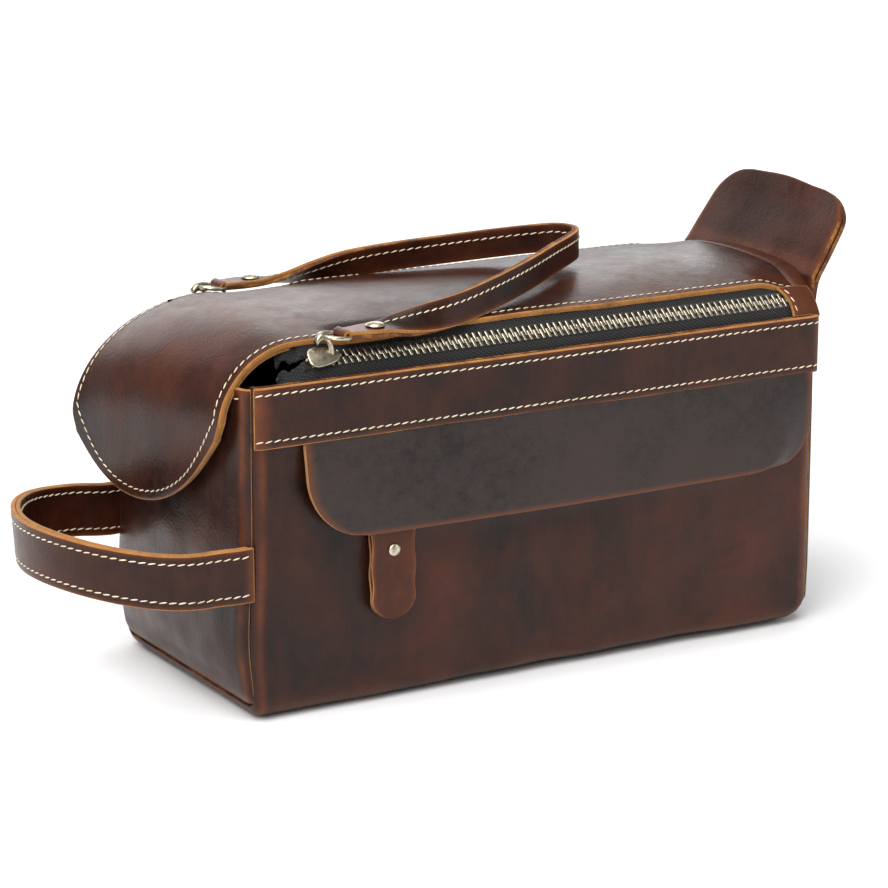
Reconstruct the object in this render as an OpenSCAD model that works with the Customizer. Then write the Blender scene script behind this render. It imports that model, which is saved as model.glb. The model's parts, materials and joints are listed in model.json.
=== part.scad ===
// Leather wash bag: a box body, a lid zipped along both long sides, a carry loop on the
// left end, a pull ear on the right end and a flapped zip pocket on the front.
// Origin: centre of the base on the ground. +X right, +Y back, +Z up. Millimetres.

/* [Body] */
// Length of the body between its end seams
body_l = 268; // [220:1:330]
// Depth of the body, front to back
body_d = 122; // [100:1:150]
// Height of the stitched rim above the ground
rim_h = 134; // [110:1:165]
// Thickness of the panel leather
leather_t = 2.2; // [1.6:0.1:3]
// Thickness of the lining cloth
lining_t = 0.7; // [0.4:0.1:1.2]
// Radius of the long bottom edges
bottom_r = 12; // [8:0.5:20]
// How far each end panel bulges at its middle
end_bulge = 7; // [3:0.5:12]
// Height of the reinforcing band below the rim
band_h = 24; // [16:1:32]
// Thickness of the reinforcing band
band_t = 2; // [1.4:0.1:3]
// Thickness of the stiffening board in the base
board_t = 1.6; // [1:0.1:3]

/* [Lid] */
// Half of the lid's width
lid_half = 50; // [40:0.5:60]
// Rise of the lid's underside edge above the rim
lid_rise = 11.6; // [9:0.1:14]
// Rise of the lid's crown above its edges
lid_crown = 4.5; // [2:0.5:10]
// Thickness of the lid leather
lid_t = 2.4; // [1.6:0.1:3]
// Distance from the left end seam to the tongue's fold
tongue_inset = 16; // [10:1:30]
// Outer radius of the tongue's fold over the left end
tongue_r = 38.5; // [30:0.5:50]
// Half of the tongue's width
tongue_half = 53; // [42:0.5:60]
// Length of the straight part of the tongue
tongue_drop = 32; // [20:1:45]
// Gap between the lid and the tongue at the fold
fold_gap = 0.3; // [0.2:0.1:1]

/* [Zips] */
// Slope of the zip strips from the horizontal, in degrees
zip_slope = 48; // [40:1:55]
// Width of one row of teeth
tooth_w = 2.1; // [1.5:0.1:2.5]
// Height of the teeth through the tape
tooth_t = 2.4; // [1.8:0.1:3]
// Pitch of the teeth in one row
tooth_pitch = 2.9; // [2:0.1:4]
// Gap between the two rows that the slider's web runs in
chain_gap = 1; // [0.8:0.1:2]
// Thickness of the zip tape
tape_t = 0.8; // [0.5:0.1:1]
// Length of a slider
slider_l = 13; // [10:0.5:16]
// Thickness of a slider's plates
plate_t = 1.2; // [0.8:0.1:2]
// Running clearance round the teeth
zip_clear = 0.3; // [0.2:0.05:0.5]
// Distance from the left end seam to the front slider when shut
slider_inset = 35.5; // [30:0.5:50]

/* [Pull strap] */
// Width of the pull strap
strap_w = 12; // [9:0.5:15]
// Thickness of the pull strap
strap_t = 3; // [2:0.1:4]
// Distance from the front slider to the tip of the strap's loop
strap_reach = 152; // [110:1:170]
// Radius of the strap's loop, to its outside
strap_loop_r = 15; // [11:0.5:20]
// Radius of the wire rings, to the wire's centre
ring_r = 6.2; // [5:0.1:8]
// Radius of the ring wire
ring_wire_r = 0.8; // [0.5:0.1:1.2]

/* [Carry loop] */
// Height of the carry loop's middle above the ground
loop_z = 60; // [45:1:80]
// Width of the carry loop's strap
loop_w = 22; // [16:1:28]
// Thickness of one layer of the carry loop
loop_layer = 2; // [1.4:0.1:2.6]
// Straight length of each leg of the carry loop
loop_leg = 10; // [6:1:30]
// Clear distance from the end seam to the moving part of the loop
loop_stand = 8; // [6:0.5:12]

/* [Ear] */
// Length of the ear
ear_l = 38; // [28:1:50]
// Half of the ear's width
ear_half = 50; // [40:1:56]
// Thickness of one layer of the ear
ear_layer = 1.8; // [1.4:0.1:2.4]
// Lean of the ear from the horizontal, in degrees
ear_lean = 62; // [55:1:80]
// Distance from the end seam to the ear's fold
ear_stand = 9.4; // [9:0.1:12]

/* [Front pocket] */
// Distance from the band's lower edge down to the pocket zip
pocket_drop = 30; // [22:1:34]
// Length of the pocket zip
pocket_l = 200; // [150:1:215]
// Depth of the pocket bag
pocket_d = 6.5; // [5:0.5:12]
// Height of the pocket bag's lower edge above the rounded bottom edge
pocket_clear = 6; // [2:1:20]
// Distance from the left end seam to the flap
flap_left = 23; // [15:1:40]
// Distance from the right end seam to the flap
flap_right = 6; // [4:1:20]
// Drop of the flap below the band
flap_h = 37; // [30:1:42]
// Thickness of the flap leather
flap_t = 2; // [1.4:0.1:2.4]
// Clearance between the pocket slider and the flap
flap_gap = 0.8; // [0.6:0.1:3]
// Distance from the left end seam to the pocket slider when shut
pocket_slider_inset = 61; // [50:1:80]
// Length of the leather pull tab
tab_l = 38; // [30:1:50]
// Width of the leather pull tab
tab_w = 19; // [12:0.5:24]
// Thickness of one layer of the pull tab
tab_layer = 1.2; // [0.8:0.1:1.6]
// Radius of the pull tab's rivet head
rivet_r = 2.9; // [2:0.1:4]

/* [Hidden] */
$fn = 64;
eps = 0.01;
big = 2000;

hl = body_l / 2;                              // end seam plane
hd = body_d / 2;                              // outer face of the front and back
in_d = hd - leather_t;                        // inner face of the front and back
lid_z = rim_h + lid_rise;                     // underside of the lid's edges
crown_z = lid_z + lid_t + lid_crown;          // highest point of the lid
lid_r = (pow(lid_half, 2) + pow(lid_crown, 2)) / (2 * lid_crown);
lid_cz = crown_z - lid_r;                     // centre of the lid's curve
lid_right = hl - 3;                           // right end of the lid, at its hinge
lid_left = -hl + tongue_inset;                // left end of the lid, at the tongue's fold
band_z = rim_h - band_h;

// Zip strip: s runs up the slope from its foot, n stands square to it, outwards.
foot_y = in_d - tape_t / 2;
foot_z = rim_h + 0.5;
strip_w = (lid_z - tape_t - foot_z) / sin(zip_slope);
chain_s = strip_w * 0.53;
row_in = chain_gap / 2;
row_out = row_in + tooth_w;
chain_left = -hl + slider_inset - slider_l / 2;
chain_right = lid_right - 7;
slider_x = -hl + slider_inset;
plate_n = tooth_t / 2 + zip_clear;
plate_half = row_out + 2.2;
web_t = chain_gap - 2 * 0.2;

// The strap and its rings swing about one line through both sliders.
swing_z = crown_z - 2.3;
ring_y = foot_y - chain_s * cos(zip_slope) + 0.5;
strap_z = swing_z - strap_t / 2;
tab_in = 2 * ring_r - 1.6;
strap_flat_l = 20;
strap_root = 3;
strap_tip_x = slider_x + strap_reach;

// Ear
ear_x = hl + ear_stand;
ear_z = rim_h + 13;
ear_round = 18;

// Pocket
flap_axis_y = -hd - band_t - 0.2;
flap_axis_z = band_z - 0.3;
pocket_z = band_z - pocket_drop;
chain_y = -hd + 1.6;
slot_h = 8;
pocket_slider_x = -hl + pocket_slider_inset;
pocket_x0 = pocket_slider_x - slider_l / 2 - 6;
pocket_row_t = 2.6;
stud_r = 1.2;
stud_z = pocket_z - 0.8;
front_plate_y = -hd - 0.4 - plate_t;
link_t = 0.8;
link_y = front_plate_y - 0.3 - link_t;
tab_top = pocket_z - 7.5;
stud_front = -link_y + 0.4 + 0.6;
flap_lean = atan2(stud_front + flap_gap + flap_axis_y + flap_t, flap_axis_z - stud_z - stud_r - 1.2);

// The end panels bulge on one cylinder; end_x gives its outer face at a distance y.
end_r = (pow(hd, 2) + pow(end_bulge, 2)) / (2 * end_bulge);
function end_x(y) = hl + end_bulge - end_r + sqrt(pow(end_r, 2) - pow(y, 2));

// ---- helpers -------------------------------------------------------------

// Extrudes a (y, z) outline along X from x0 to x1.
module along_x(x0, x1) {
  translate([x0, 0, 0]) rotate([90, 0, 90]) linear_extrude(x1 - x0) children();
}

// Extrudes an (x, z) outline along Y from y0 to y1.
module along_y(y0, y1) {
  translate([0, y1, 0]) rotate([90, 0, 0]) linear_extrude(y1 - y0) children();
}

// Builds on the back side, or on the front side by mirroring.
module on_side(front) {
  if (front) mirror([0, 1, 0]) children();
  else children();
}

// Turns strip coordinates (s, n) into (y, z) on the back side.
module strip_plane() {
  translate([foot_y, foot_z]) rotate(180 - zip_slope) mirror([0, 1]) children();
}

// The same place as a point of the back side's (y, z) plane.
function strip_point(s, n) =
  [foot_y - s * cos(zip_slope) + n * sin(zip_slope), foot_z + s * sin(zip_slope) + n * cos(zip_slope)];

module block(p, q) {
  translate(p) cube([q[0] - p[0], q[1] - p[1], q[2] - p[2]]);
}

// The body's end-on outline: square top, rounded bottom edges.
module end_outline(shrink) {
  r = bottom_r - shrink;
  w = hd - shrink;
  union() {
    translate([-w, bottom_r]) square([2 * w, rim_h - bottom_r]);
    translate([-w + r, shrink]) square([2 * (w - r), bottom_r - shrink + eps]);
    for (side = [-1, 1]) translate([side * (w - r), bottom_r]) circle(r);
  }
}

// A comb of teeth on a corded edge, lying along X: rail of width w - bite, teeth to w.
module comb(length, w) {
  rail = w * 0.35;
  count = floor((length - tooth_pitch) / tooth_pitch);
  union() {
    square([length, rail]);
    for (i = [0 : count - 1])
      translate([tooth_pitch * (i + 0.75), rail - eps]) square([tooth_pitch / 2, w - rail + eps]);
  }
}

// A band of the lid's curve between two depths below its top face.
module lid_arc(top, bottom, y0, y1) {
  intersection() {
    difference() {
      translate([0, lid_cz]) circle(lid_r - top, $fn = 360);
      translate([0, lid_cz]) circle(lid_r - bottom, $fn = 360);
    }
    translate([y0, lid_z - 20]) square([y1 - y0, 60]);
  }
}

// ---- body ----------------------------------------------------------------

module bottom_panel() {
  color("#4a2416")
    along_x(-hl, hl)
      difference() {
        end_outline(0);
        end_outline(leather_t);
        translate([-body_d, bottom_r]) square([2 * body_d, rim_h]);
      }
}

// Front or back panel above the rounded bottom edge.
module side_panel() {
  block([-hl, in_d, bottom_r], [hl, hd, rim_h]);
}

module front_panel() {
  color("#5a2a18")
    difference() {
      on_side(true) side_panel();
      block([pocket_x0, -hd - 1, pocket_z - slot_h / 2],
            [pocket_x0 + pocket_l, -in_d + 1, pocket_z + slot_h / 2]);
    }
}

module back_panel() {
  color("#5a2a18") side_panel();
}

// A bulged end panel, cut to the body's end-on outline.
module end_panel() {
  intersection() {
    translate([hl + end_bulge - end_r, 0, 0])
      difference() {
        cylinder(r = end_r, h = rim_h, $fn = 360);
        translate([0, 0, -1]) cylinder(r = end_r - leather_t, h = rim_h + 2, $fn = 360);
      }
    along_x(hl, hl + 2 * end_bulge) end_outline(0);
  }
}

module left_end_panel() {
  color("#522617") mirror([1, 0, 0]) end_panel();
}

module right_end_panel() {
  color("#522617") end_panel();
}

module band() {
  block([-hl, hd, band_z], [hl, hd + band_t, rim_h]);
}

module front_band() {
  color("#61301c") on_side(true) band();
}

module back_band() {
  color("#61301c") band();
}

// The lining steps inwards at the front to leave room for the pocket bag.
lining_floor = leather_t + board_t;
lining_gap = 0.2;
lining_front = in_d - pocket_d - lining_t - 2 * lining_gap;
step_z = pocket_z + 20;

module lining_outline(shrink) {
  polygon([
    [-lining_front + shrink, lining_floor + shrink],
    [in_d - tape_t - lining_gap - shrink, lining_floor + shrink],
    [in_d - tape_t - lining_gap - shrink, rim_h - 2],
    [-in_d + tape_t + lining_gap + shrink, rim_h - 2],
    [-in_d + tape_t + lining_gap + shrink, step_z + shrink],
    [-lining_front + shrink, step_z + shrink]
  ]);
}

module main_lining() {
  color("#15120f")
    difference() {
      along_x(-hl + lining_gap, hl - lining_gap)
        intersection() {
          lining_outline(0);
          end_outline(leather_t + lining_gap);
        }
      along_x(-hl + lining_gap + lining_t, hl - lining_gap - lining_t)
        intersection() {
          lining_outline(lining_t);
          end_outline(leather_t + lining_gap + lining_t);
        }
      block([-hl + lining_gap + lining_t, -in_d + tape_t + lining_gap + lining_t, rim_h - 10],
            [hl - lining_gap - lining_t, in_d - tape_t - lining_gap - lining_t, rim_h + 10]);
    }
}

module base_board() {
  half = hd - bottom_r - 0.5;
  color("#8a7a60")
    block([-hl + 14, -half, leather_t], [hl - 14, half, leather_t + board_t]);
}

// ---- lid zips ------------------------------------------------------------

// The tape's leg is sewn inside the rim; above it the tape slopes in to the teeth.
module body_zip_tape() {
  leg = 14;
  half = tape_t / 2;
  along_x(-hl + 6, chain_right + 4)
    polygon([
      [in_d, rim_h - leg], [in_d, foot_z], strip_point(0.4, half),
      strip_point(chain_s - row_out, half), strip_point(chain_s - row_out, -half),
      strip_point(-0.4, -half), [in_d - tape_t, foot_z - 0.6], [in_d - tape_t, rim_h - leg]
    ]);
}

module front_body_zip_tape() {
  color("#1b1a19") on_side(true) body_zip_tape();
}

module rear_body_zip_tape() {
  color("#1b1a19") body_zip_tape();
}

// One row of teeth in the strip's plane; side is -1 on the body, 1 on the lid.
module zip_row(side) {
  intersection() {
    along_x(chain_left - 1, chain_right + 1)
      strip_plane() translate([-50, -tooth_t / 2]) square([100, tooth_t]);
    translate([chain_left, foot_y, foot_z])
      rotate([180 - zip_slope, 0, 0])
        translate([0, chain_s + side * row_out, -10])
          mirror([0, side > 0 ? 1 : 0, 0])
            linear_extrude(20) comb(chain_right - chain_left, tooth_w);
  }
}

module front_body_zip_teeth() {
  color("#b9a673") on_side(true) zip_row(-1);
}

module rear_body_zip_teeth() {
  color("#b9a673") zip_row(-1);
}

module front_lid_zip_teeth() {
  color("#b9a673") on_side(true) zip_row(1);
}

module rear_lid_zip_teeth() {
  color("#b9a673") zip_row(1);
}

// Sloping tape up to the lid, then a leg along the lid's underside.
module lid_zip_tape() {
  leg_out = foot_y - strip_w * cos(zip_slope) + 0.6;
  along_x(lid_left + 6, chain_right + 1.5)
    union() {
      strip_plane()
        translate([chain_s + row_out, -tape_t / 2])
          square([strip_w - chain_s - row_out + 0.3, tape_t]);
      lid_arc(lid_t, lid_t + tape_t, leg_out - 8, leg_out);
    }
}

module front_lid_zip_tape() {
  color("#1b1a19") on_side(true) lid_zip_tape();
}

module rear_lid_zip_tape() {
  color("#1b1a19") lid_zip_tape();
}

// Leather patches over the zips' right ends.
module zip_end_patches() {
  patch_t = 1.6;
  color("#6b3a1e")
    for (front = [true, false])
      on_side(front)
        along_x(chain_right + 2, hl - 0.2)
          strip_plane() translate([1, tape_t / 2]) square([strip_w - 2.4, patch_t]);
}

// Metal stops clamped on the ends of the chains, next to the last teeth.
module zip_end_stops() {
  color("#b9a673")
    for (front = [true, false])
      on_side(front)
        along_x(chain_right + 0.1, chain_right + 1.9)
          strip_plane()
            translate([chain_s - row_out, -tooth_t / 2]) square([tooth_w, tooth_t]);
}

// Upright strip that carries the lid's hinge at the right end.
riser_t = 2.5;
module hinge_riser() {
  color("#5a2a18")
    block([hl - riser_t - 0.2, -lid_half + 8, rim_h - 2.0], [hl - 0.2, lid_half - 8, lid_z - 0.6]);
}

// Leather web from the riser and the end rim out to the ear's fold.
module ear_root() {
  color("#6b3a1e")
    along_y(-ear_half + 6, ear_half - 6)
      polygon([
        [hl, rim_h + 0.2], [hl + end_bulge - 1, rim_h + 0.2], [ear_x - 0.4, ear_z - 2.4],
        [ear_x - 0.4, ear_z - 0.4], [ear_x - 3, ear_z - 0.4], [hl, lid_z - 2]
      ]);
}

// ---- lid and tongue --------------------------------------------------------

module lid_panel() {
  color("#4f2718")
    along_x(lid_left, lid_right) lid_arc(0, lid_t, -lid_half, lid_half);
}

module lid_lining() {
  inner = foot_y - strip_w * cos(zip_slope) - 8;
  color("#15120f")
    along_x(lid_left, lid_right) lid_arc(lid_t, lid_t + lining_t, -inner, inner);
}

// A folded sheet over the left end: quarter turn, then a straight drop leaning in.
module tongue_sheet(depth, t) {
  r_out = tongue_r - depth;
  cz = crown_z - 2 - tongue_r;
  x0 = lid_left - fold_gap;
  intersection() {
    along_y(-tongue_half + depth, tongue_half - depth)
      union() {
        intersection() {
          difference() {
            translate([x0, cz]) circle(r_out, $fn = 180);
            translate([x0, cz]) circle(r_out - t, $fn = 180);
          }
          translate([x0 - 100, cz]) square([100, 100]);
        }
        translate([x0 - r_out, cz - tongue_drop + depth])
          square([t, tongue_drop - depth]);
      }
    along_x(x0 - 100, x0 + 1) tongue_outline(cz, depth);
  }
}

// The tongue's end-on outline: straight sides and a broad round tip.
module tongue_outline(cz, depth) {
  tip_r = 62;
  union() {
    translate([-body_d, cz]) square([2 * body_d, 100]);
    translate([0, cz - tongue_drop + tip_r]) circle(tip_r - depth, $fn = 180);
  }
}

module lid_tongue() {
  color("#4a2416") tongue_sheet(0, lid_t);
}

module tongue_lining() {
  color("#7a4a24") tongue_sheet(lid_t, lining_t);
}

// ---- sliders and pull strap ------------------------------------------------

// Slider on the back side, with its middle at x = 0: two plates, a web and a bridge.
module lid_slider() {
  post_t = 1.6;
  bridge_half = ring_r * 0.62;
  top_z = swing_z + ring_wire_r + 0.6;
  union() {
    along_x(-slider_l / 2, slider_l / 2)
      strip_plane() {
        translate([chain_s - plate_half, plate_n]) square([2 * plate_half, plate_t]);
        translate([chain_s - plate_half, -plate_n - plate_t]) square([2 * plate_half, plate_t]);
        translate([chain_s - web_t / 2, -plate_n - eps]) square([web_t, 2 * plate_n + 2 * eps]);
      }
    difference() {
      block([-bridge_half, ring_y - 1.5, foot_z + chain_s * sin(zip_slope) + 2.4],
            [bridge_half, ring_y + 1.5, top_z + 1.4]);
      block([-bridge_half + post_t, ring_y - 5, swing_z - ring_wire_r - 0.6],
            [bridge_half - post_t, ring_y + 5, top_z]);
      along_x(-slider_l, slider_l)
        strip_plane() translate([chain_s - 20, plate_n - 20]) square([40, 20]);
    }
  }
}

module front_slider_body() {
  color("#a89a78") translate([slider_x, 0, 0]) on_side(true) lid_slider();
}

module rear_slider_body() {
  color("#a89a78") translate([slider_x, 0, 0]) lid_slider();
}

// A flat wire ring whose near side lies on the swing line.
module ring_at(x, y) {
  translate([x + ring_r, y, swing_z])
    rotate_extrude($fn = 96) translate([ring_r, 0]) circle(ring_wire_r, $fn = 24);
}

module front_ring() {
  color("#a89a78") ring_at(slider_x, -ring_y);
}

module rear_ring() {
  color("#a89a78") ring_at(slider_x, ring_y);
}

// A straight run of the strap in plan, from p to q.
module strap_run(p, q) {
  run = q - p;
  translate(p) rotate(atan2(run[1], run[0]))
    translate([0, -strap_t / 2]) square([norm(run), strap_t]);
}

strap_x0 = slider_x + tab_in + strap_flat_l;
loop_c = [strap_tip_x - strap_loop_r, 5];

// Plan of the strap's hairpin loop.
module hairpin_plan() {
  r_mid = strap_loop_r - strap_t / 2;
  front_a = -58;
  front_end = [strap_x0 - strap_root - 1, -ring_y + 3.5];
  rear_end = [strap_x0 - strap_root - 1, ring_y - 3.5];
  front_knee = [slider_x + 74, -ring_y + 13.5];
  rear_knee = [slider_x + 96, ring_y - 18];
  front_tan = loop_c + r_mid * [cos(front_a - 8), sin(front_a - 8)];
  rear_tan = loop_c + r_mid * [cos(100), sin(100)];
  union() {
    strap_run(front_end, front_knee);
    strap_run(front_knee, front_tan);
    strap_run(rear_end, rear_knee);
    strap_run(rear_knee, rear_tan);
    for (p = [front_knee, front_tan, rear_knee, rear_tan]) translate(p) circle(strap_t / 2 + 0.15);
    intersection() {
      difference() {
        translate(loop_c) circle(strap_loop_r);
        translate(loop_c) circle(strap_loop_r - strap_t);
      }
      translate(loop_c)
        polygon([
          [0, 0], 60 * [cos(front_a - 8), sin(front_a - 8)], [60, -60], [60, 60],
          60 * [cos(100), sin(100)]
        ]);
    }
  }
}

// The strap's flat folded end, with a slot that the ring passes through.
module strap_end(x, y) {
  difference() {
    block([x + tab_in, y - strap_w / 2, strap_z],
          [x + tab_in + strap_flat_l, y + strap_w / 2, strap_z + strap_t]);
    translate([x + ring_r, y, swing_z])
      rotate_extrude($fn = 96)
        translate([ring_r - ring_wire_r - 0.3, -ring_wire_r - 0.3])
          square([2 * (ring_wire_r + 0.3), 2 * (ring_wire_r + 0.3)]);
  }
}

module pull_strap() {
  color("#5a2a18")
    difference() {
      union() {
        strap_end(slider_x, -ring_y);
        strap_end(slider_x, ring_y);
        intersection() {
          translate([0, 0, strap_z]) linear_extrude(40) hairpin_plan();
          along_y(-body_d, body_d)
            polygon([
              [strap_x0 - strap_root, strap_z], [strap_tip_x - 40, strap_z + 8],
              [strap_tip_x + 5, strap_z + 9], [strap_tip_x + 5, strap_z + 9 + strap_w],
              [strap_tip_x - 40, strap_z + 8 + strap_w],
              [strap_x0 - strap_root, strap_z + strap_t + 3]
            ]);
        }
      }
      strap_rivet_holes();
    }
}

rivet_shank_r = 1.3;
rivet_head_t = 0.8;

module at_strap_rivets() {
  for (side = [-1, 1])
    translate([slider_x + tab_in + 13, side * ring_y, strap_z]) children();
}

module strap_rivet_holes() {
  at_strap_rivets() translate([0, 0, -1]) cylinder(r = rivet_shank_r, h = strap_t + 2);
}

module strap_rivets() {
  color("#b9a673")
    at_strap_rivets() {
      cylinder(r = rivet_shank_r, h = strap_t);
      translate([0, 0, strap_t]) cylinder(r = rivet_r, h = rivet_head_t);
    }
}

// ---- carry loop ------------------------------------------------------------

loop_x = -hl - loop_stand;
loop_out = hd - 2;

// One layer of the carry loop: two legs and a half circle, between two half-widths.
module carry_layer(out) {
  bend_x = loop_x - loop_leg;
  translate([0, 0, loop_z - loop_w / 2])
    linear_extrude(loop_w)
      union() {
        for (side = [-1, 1])
          translate([bend_x, side > 0 ? out - loop_layer : -out])
            square([loop_leg, loop_layer]);
        intersection() {
          difference() {
            translate([bend_x, 0]) circle(out, $fn = 180);
            translate([bend_x, 0]) circle(out - loop_layer, $fn = 180);
          }
          translate([bend_x - 2 * out, -2 * out]) square([2 * out, 4 * out]);
        }
      }
}

module handle_outer_layer() {
  color("#61301c") carry_layer(loop_out);
}

module handle_inner_layer() {
  color("#8a5a24") carry_layer(loop_out - loop_layer);
}

// The loop's ends, sewn into the corner seams.
module handle_seam_tabs() {
  tab_in_y = loop_out - 2 * loop_layer + 3;
  tab_x = 2.6;
  color("#61301c")
    for (front = [true, false])
      on_side(front)
        translate([-end_x(tab_in_y) - 0.2 - tab_x, tab_in_y, loop_z - loop_w / 2])
          cube([tab_x, 2 * loop_layer - 1.5, loop_w]);
}

// ---- ear -------------------------------------------------------------------

// One layer of the ear, between two depths from its outer face.
module ear_layer_at(depth, inset) {
  w = ear_half - inset;
  l = ear_l - inset;
  r = ear_round;
  translate([ear_x, 0, ear_z])
    rotate([0, 90 - ear_lean, 0])
      translate([-depth - ear_layer, 0, 0])
        rotate([90, 0, 90])
          linear_extrude(ear_layer)
            union() {
              translate([-w, 0]) square([2 * w, l - r]);
              translate([-w + r, 0]) square([2 * (w - r), l]);
              for (side = [-1, 1]) translate([side * (w - r), l - r]) circle(r);
            }
}

module ear_outer_layer() {
  color("#61301c") ear_layer_at(0, 0);
}

module ear_core() {
  color("#8a5a24") ear_layer_at(ear_layer, 1.5);
}

module ear_inner_layer() {
  color("#5a2a18") ear_layer_at(2 * ear_layer, 0);
}

// ---- front pocket ----------------------------------------------------------

pouch_top = pocket_z + 12;
pouch_floor = bottom_r + pocket_clear;
pouch_x1 = pocket_x0 + pocket_l + 4;
pouch_x0 = pocket_x0 - 4;

module pocket_lining() {
  color("#15120f")
    difference() {
      block([pouch_x0, -in_d, pouch_floor], [pouch_x1, -in_d + pocket_d, pouch_top]);
      block([pouch_x0 + lining_t, -in_d - 1, pouch_floor + lining_t],
            [pouch_x1 - lining_t, -in_d + pocket_d - lining_t, pouch_top - lining_t]);
    }
}

pocket_row_h = (slot_h - 2.6 - chain_gap) / 2;

// Two tapes framing the slot, behind the panel inside the pouch.
module pocket_zip_tape() {
  reach = 5;
  color("#1b1a19")
    for (side = [-1, 1])
      translate([pocket_x0 - 2, -in_d + 0.02, side > 0 ? pocket_z + row_in + pocket_row_h
                                              : pocket_z - row_in - pocket_row_h - reach])
        cube([pocket_l + 4, tape_t, reach]);
}

module pocket_zip_teeth() {
  color("#b9a673")
    for (side = [-1, 1])
      translate([pocket_x0 + 1, chain_y + pocket_row_t, pocket_z])
        rotate([90, 0, 0])
          mirror([0, side < 0 ? 1 : 0, 0])
            translate([0, row_in + pocket_row_h, 0])
              mirror([0, 1, 0])
                linear_extrude(pocket_row_t) comb(pocket_l - 2, pocket_row_h);
}

// The flap hangs from the band's lower edge and stands off at its lower edge.
module pocket_flap() {
  x0 = -hl + flap_left;
  x1 = hl - flap_right;
  w = x1 - x0;
  r_left = 24;
  r_right = 17;
  color("#4a3a34")
    translate([0, flap_axis_y, flap_axis_z - 0.2])
      rotate([90 - flap_lean, 0, 0])
        translate([x0, -flap_h, -flap_t])
          linear_extrude(flap_t)
            intersection() {
              square([w, flap_h]);
              union() {
                translate([0, r_left]) square([w, flap_h]);
                translate([r_left, 0]) square([w - r_left - r_right, flap_h]);
                translate([w - r_right, r_right]) square([r_right, flap_h]);
                translate([r_left, r_left]) circle(r_left);
                translate([w - r_right, r_right]) circle(r_right);
              }
            }
}

module pocket_slider_body() {
  half = slider_l / 2 - 1;
  h = slot_h / 2 - 0.3;
  back_y = chain_y + pocket_row_t + 0.3;
  stud_y = link_y - 0.4;
  color("#b9a673")
    translate([pocket_slider_x, 0, 0])
      union() {
        block([-half, front_plate_y, pocket_z - h], [half, front_plate_y + plate_t, pocket_z + h]);
        block([-half, back_y, pocket_z - h + 1], [half, back_y + plate_t, pocket_z + h - 1]);
        block([-half, front_plate_y, pocket_z - web_t / 2],
              [half, back_y + plate_t, pocket_z + web_t / 2]);
        translate([0, front_plate_y + eps, stud_z]) rotate([90, 0, 0])
          cylinder(r = stud_r, h = front_plate_y - stud_y + 2 * eps);
        translate([0, stud_y, stud_z]) rotate([90, 0, 0]) cylinder(r = stud_r + 1, h = 0.6);
      }
}

// Flat metal link that hangs on the slider's stud.
module pocket_pull_link() {
  color("#b9a673")
    translate([pocket_slider_x, link_y + link_t, stud_z])
      rotate([90, 0, 0])
        linear_extrude(link_t)
          difference() {
            union() {
              circle(stud_r + 1.8);
              translate([-2, -16]) square([4, 16]);
            }
            circle(stud_r + 0.15);
          }
}

// Leather tab: two layers either side of the link.
module tab_outline(r_hole) {
  r = tab_w / 2;
  difference() {
    union() {
      translate([-r, -tab_l + r]) square([tab_w, tab_l - r]);
      translate([0, -tab_l + r]) circle(r);
    }
    translate([0, -9.5]) circle(r_hole);
  }
}

module pocket_pull_tab() {
  color("#6b3a1e")
    for (layer = [0, 1])
      translate([pocket_slider_x, layer == 0 ? link_y : link_y + link_t + tab_layer, tab_top])
        rotate([90, 0, 0]) linear_extrude(tab_layer) tab_outline(rivet_shank_r);
}

module tab_rivet() {
  color("#c8b98a")
    translate([pocket_slider_x, link_y, tab_top - 9.5])
      rotate([90, 0, 0]) {
        cylinder(r = rivet_shank_r, h = tab_layer);
        translate([0, 0, tab_layer]) cylinder(r = rivet_r, h = 0.8);
      }
}

bottom_panel();
front_panel();
back_panel();
left_end_panel();
right_end_panel();
front_band();
back_band();
main_lining();
base_board();
front_body_zip_tape();
rear_body_zip_tape();
front_body_zip_teeth();
rear_body_zip_teeth();
zip_end_patches();
zip_end_stops();
hinge_riser();
ear_root();
handle_seam_tabs();
lid_panel();
lid_lining();
front_lid_zip_tape();
rear_lid_zip_tape();
front_lid_zip_teeth();
rear_lid_zip_teeth();
lid_tongue();
tongue_lining();
front_slider_body();
rear_slider_body();
front_ring();
rear_ring();
pull_strap();
strap_rivets();
handle_outer_layer();
handle_inner_layer();
ear_inner_layer();
ear_core();
ear_outer_layer();
pocket_lining();
pocket_zip_tape();
pocket_zip_teeth();
pocket_flap();
pocket_slider_body();
pocket_pull_link();
pocket_pull_tab();
tab_rivet();
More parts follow.
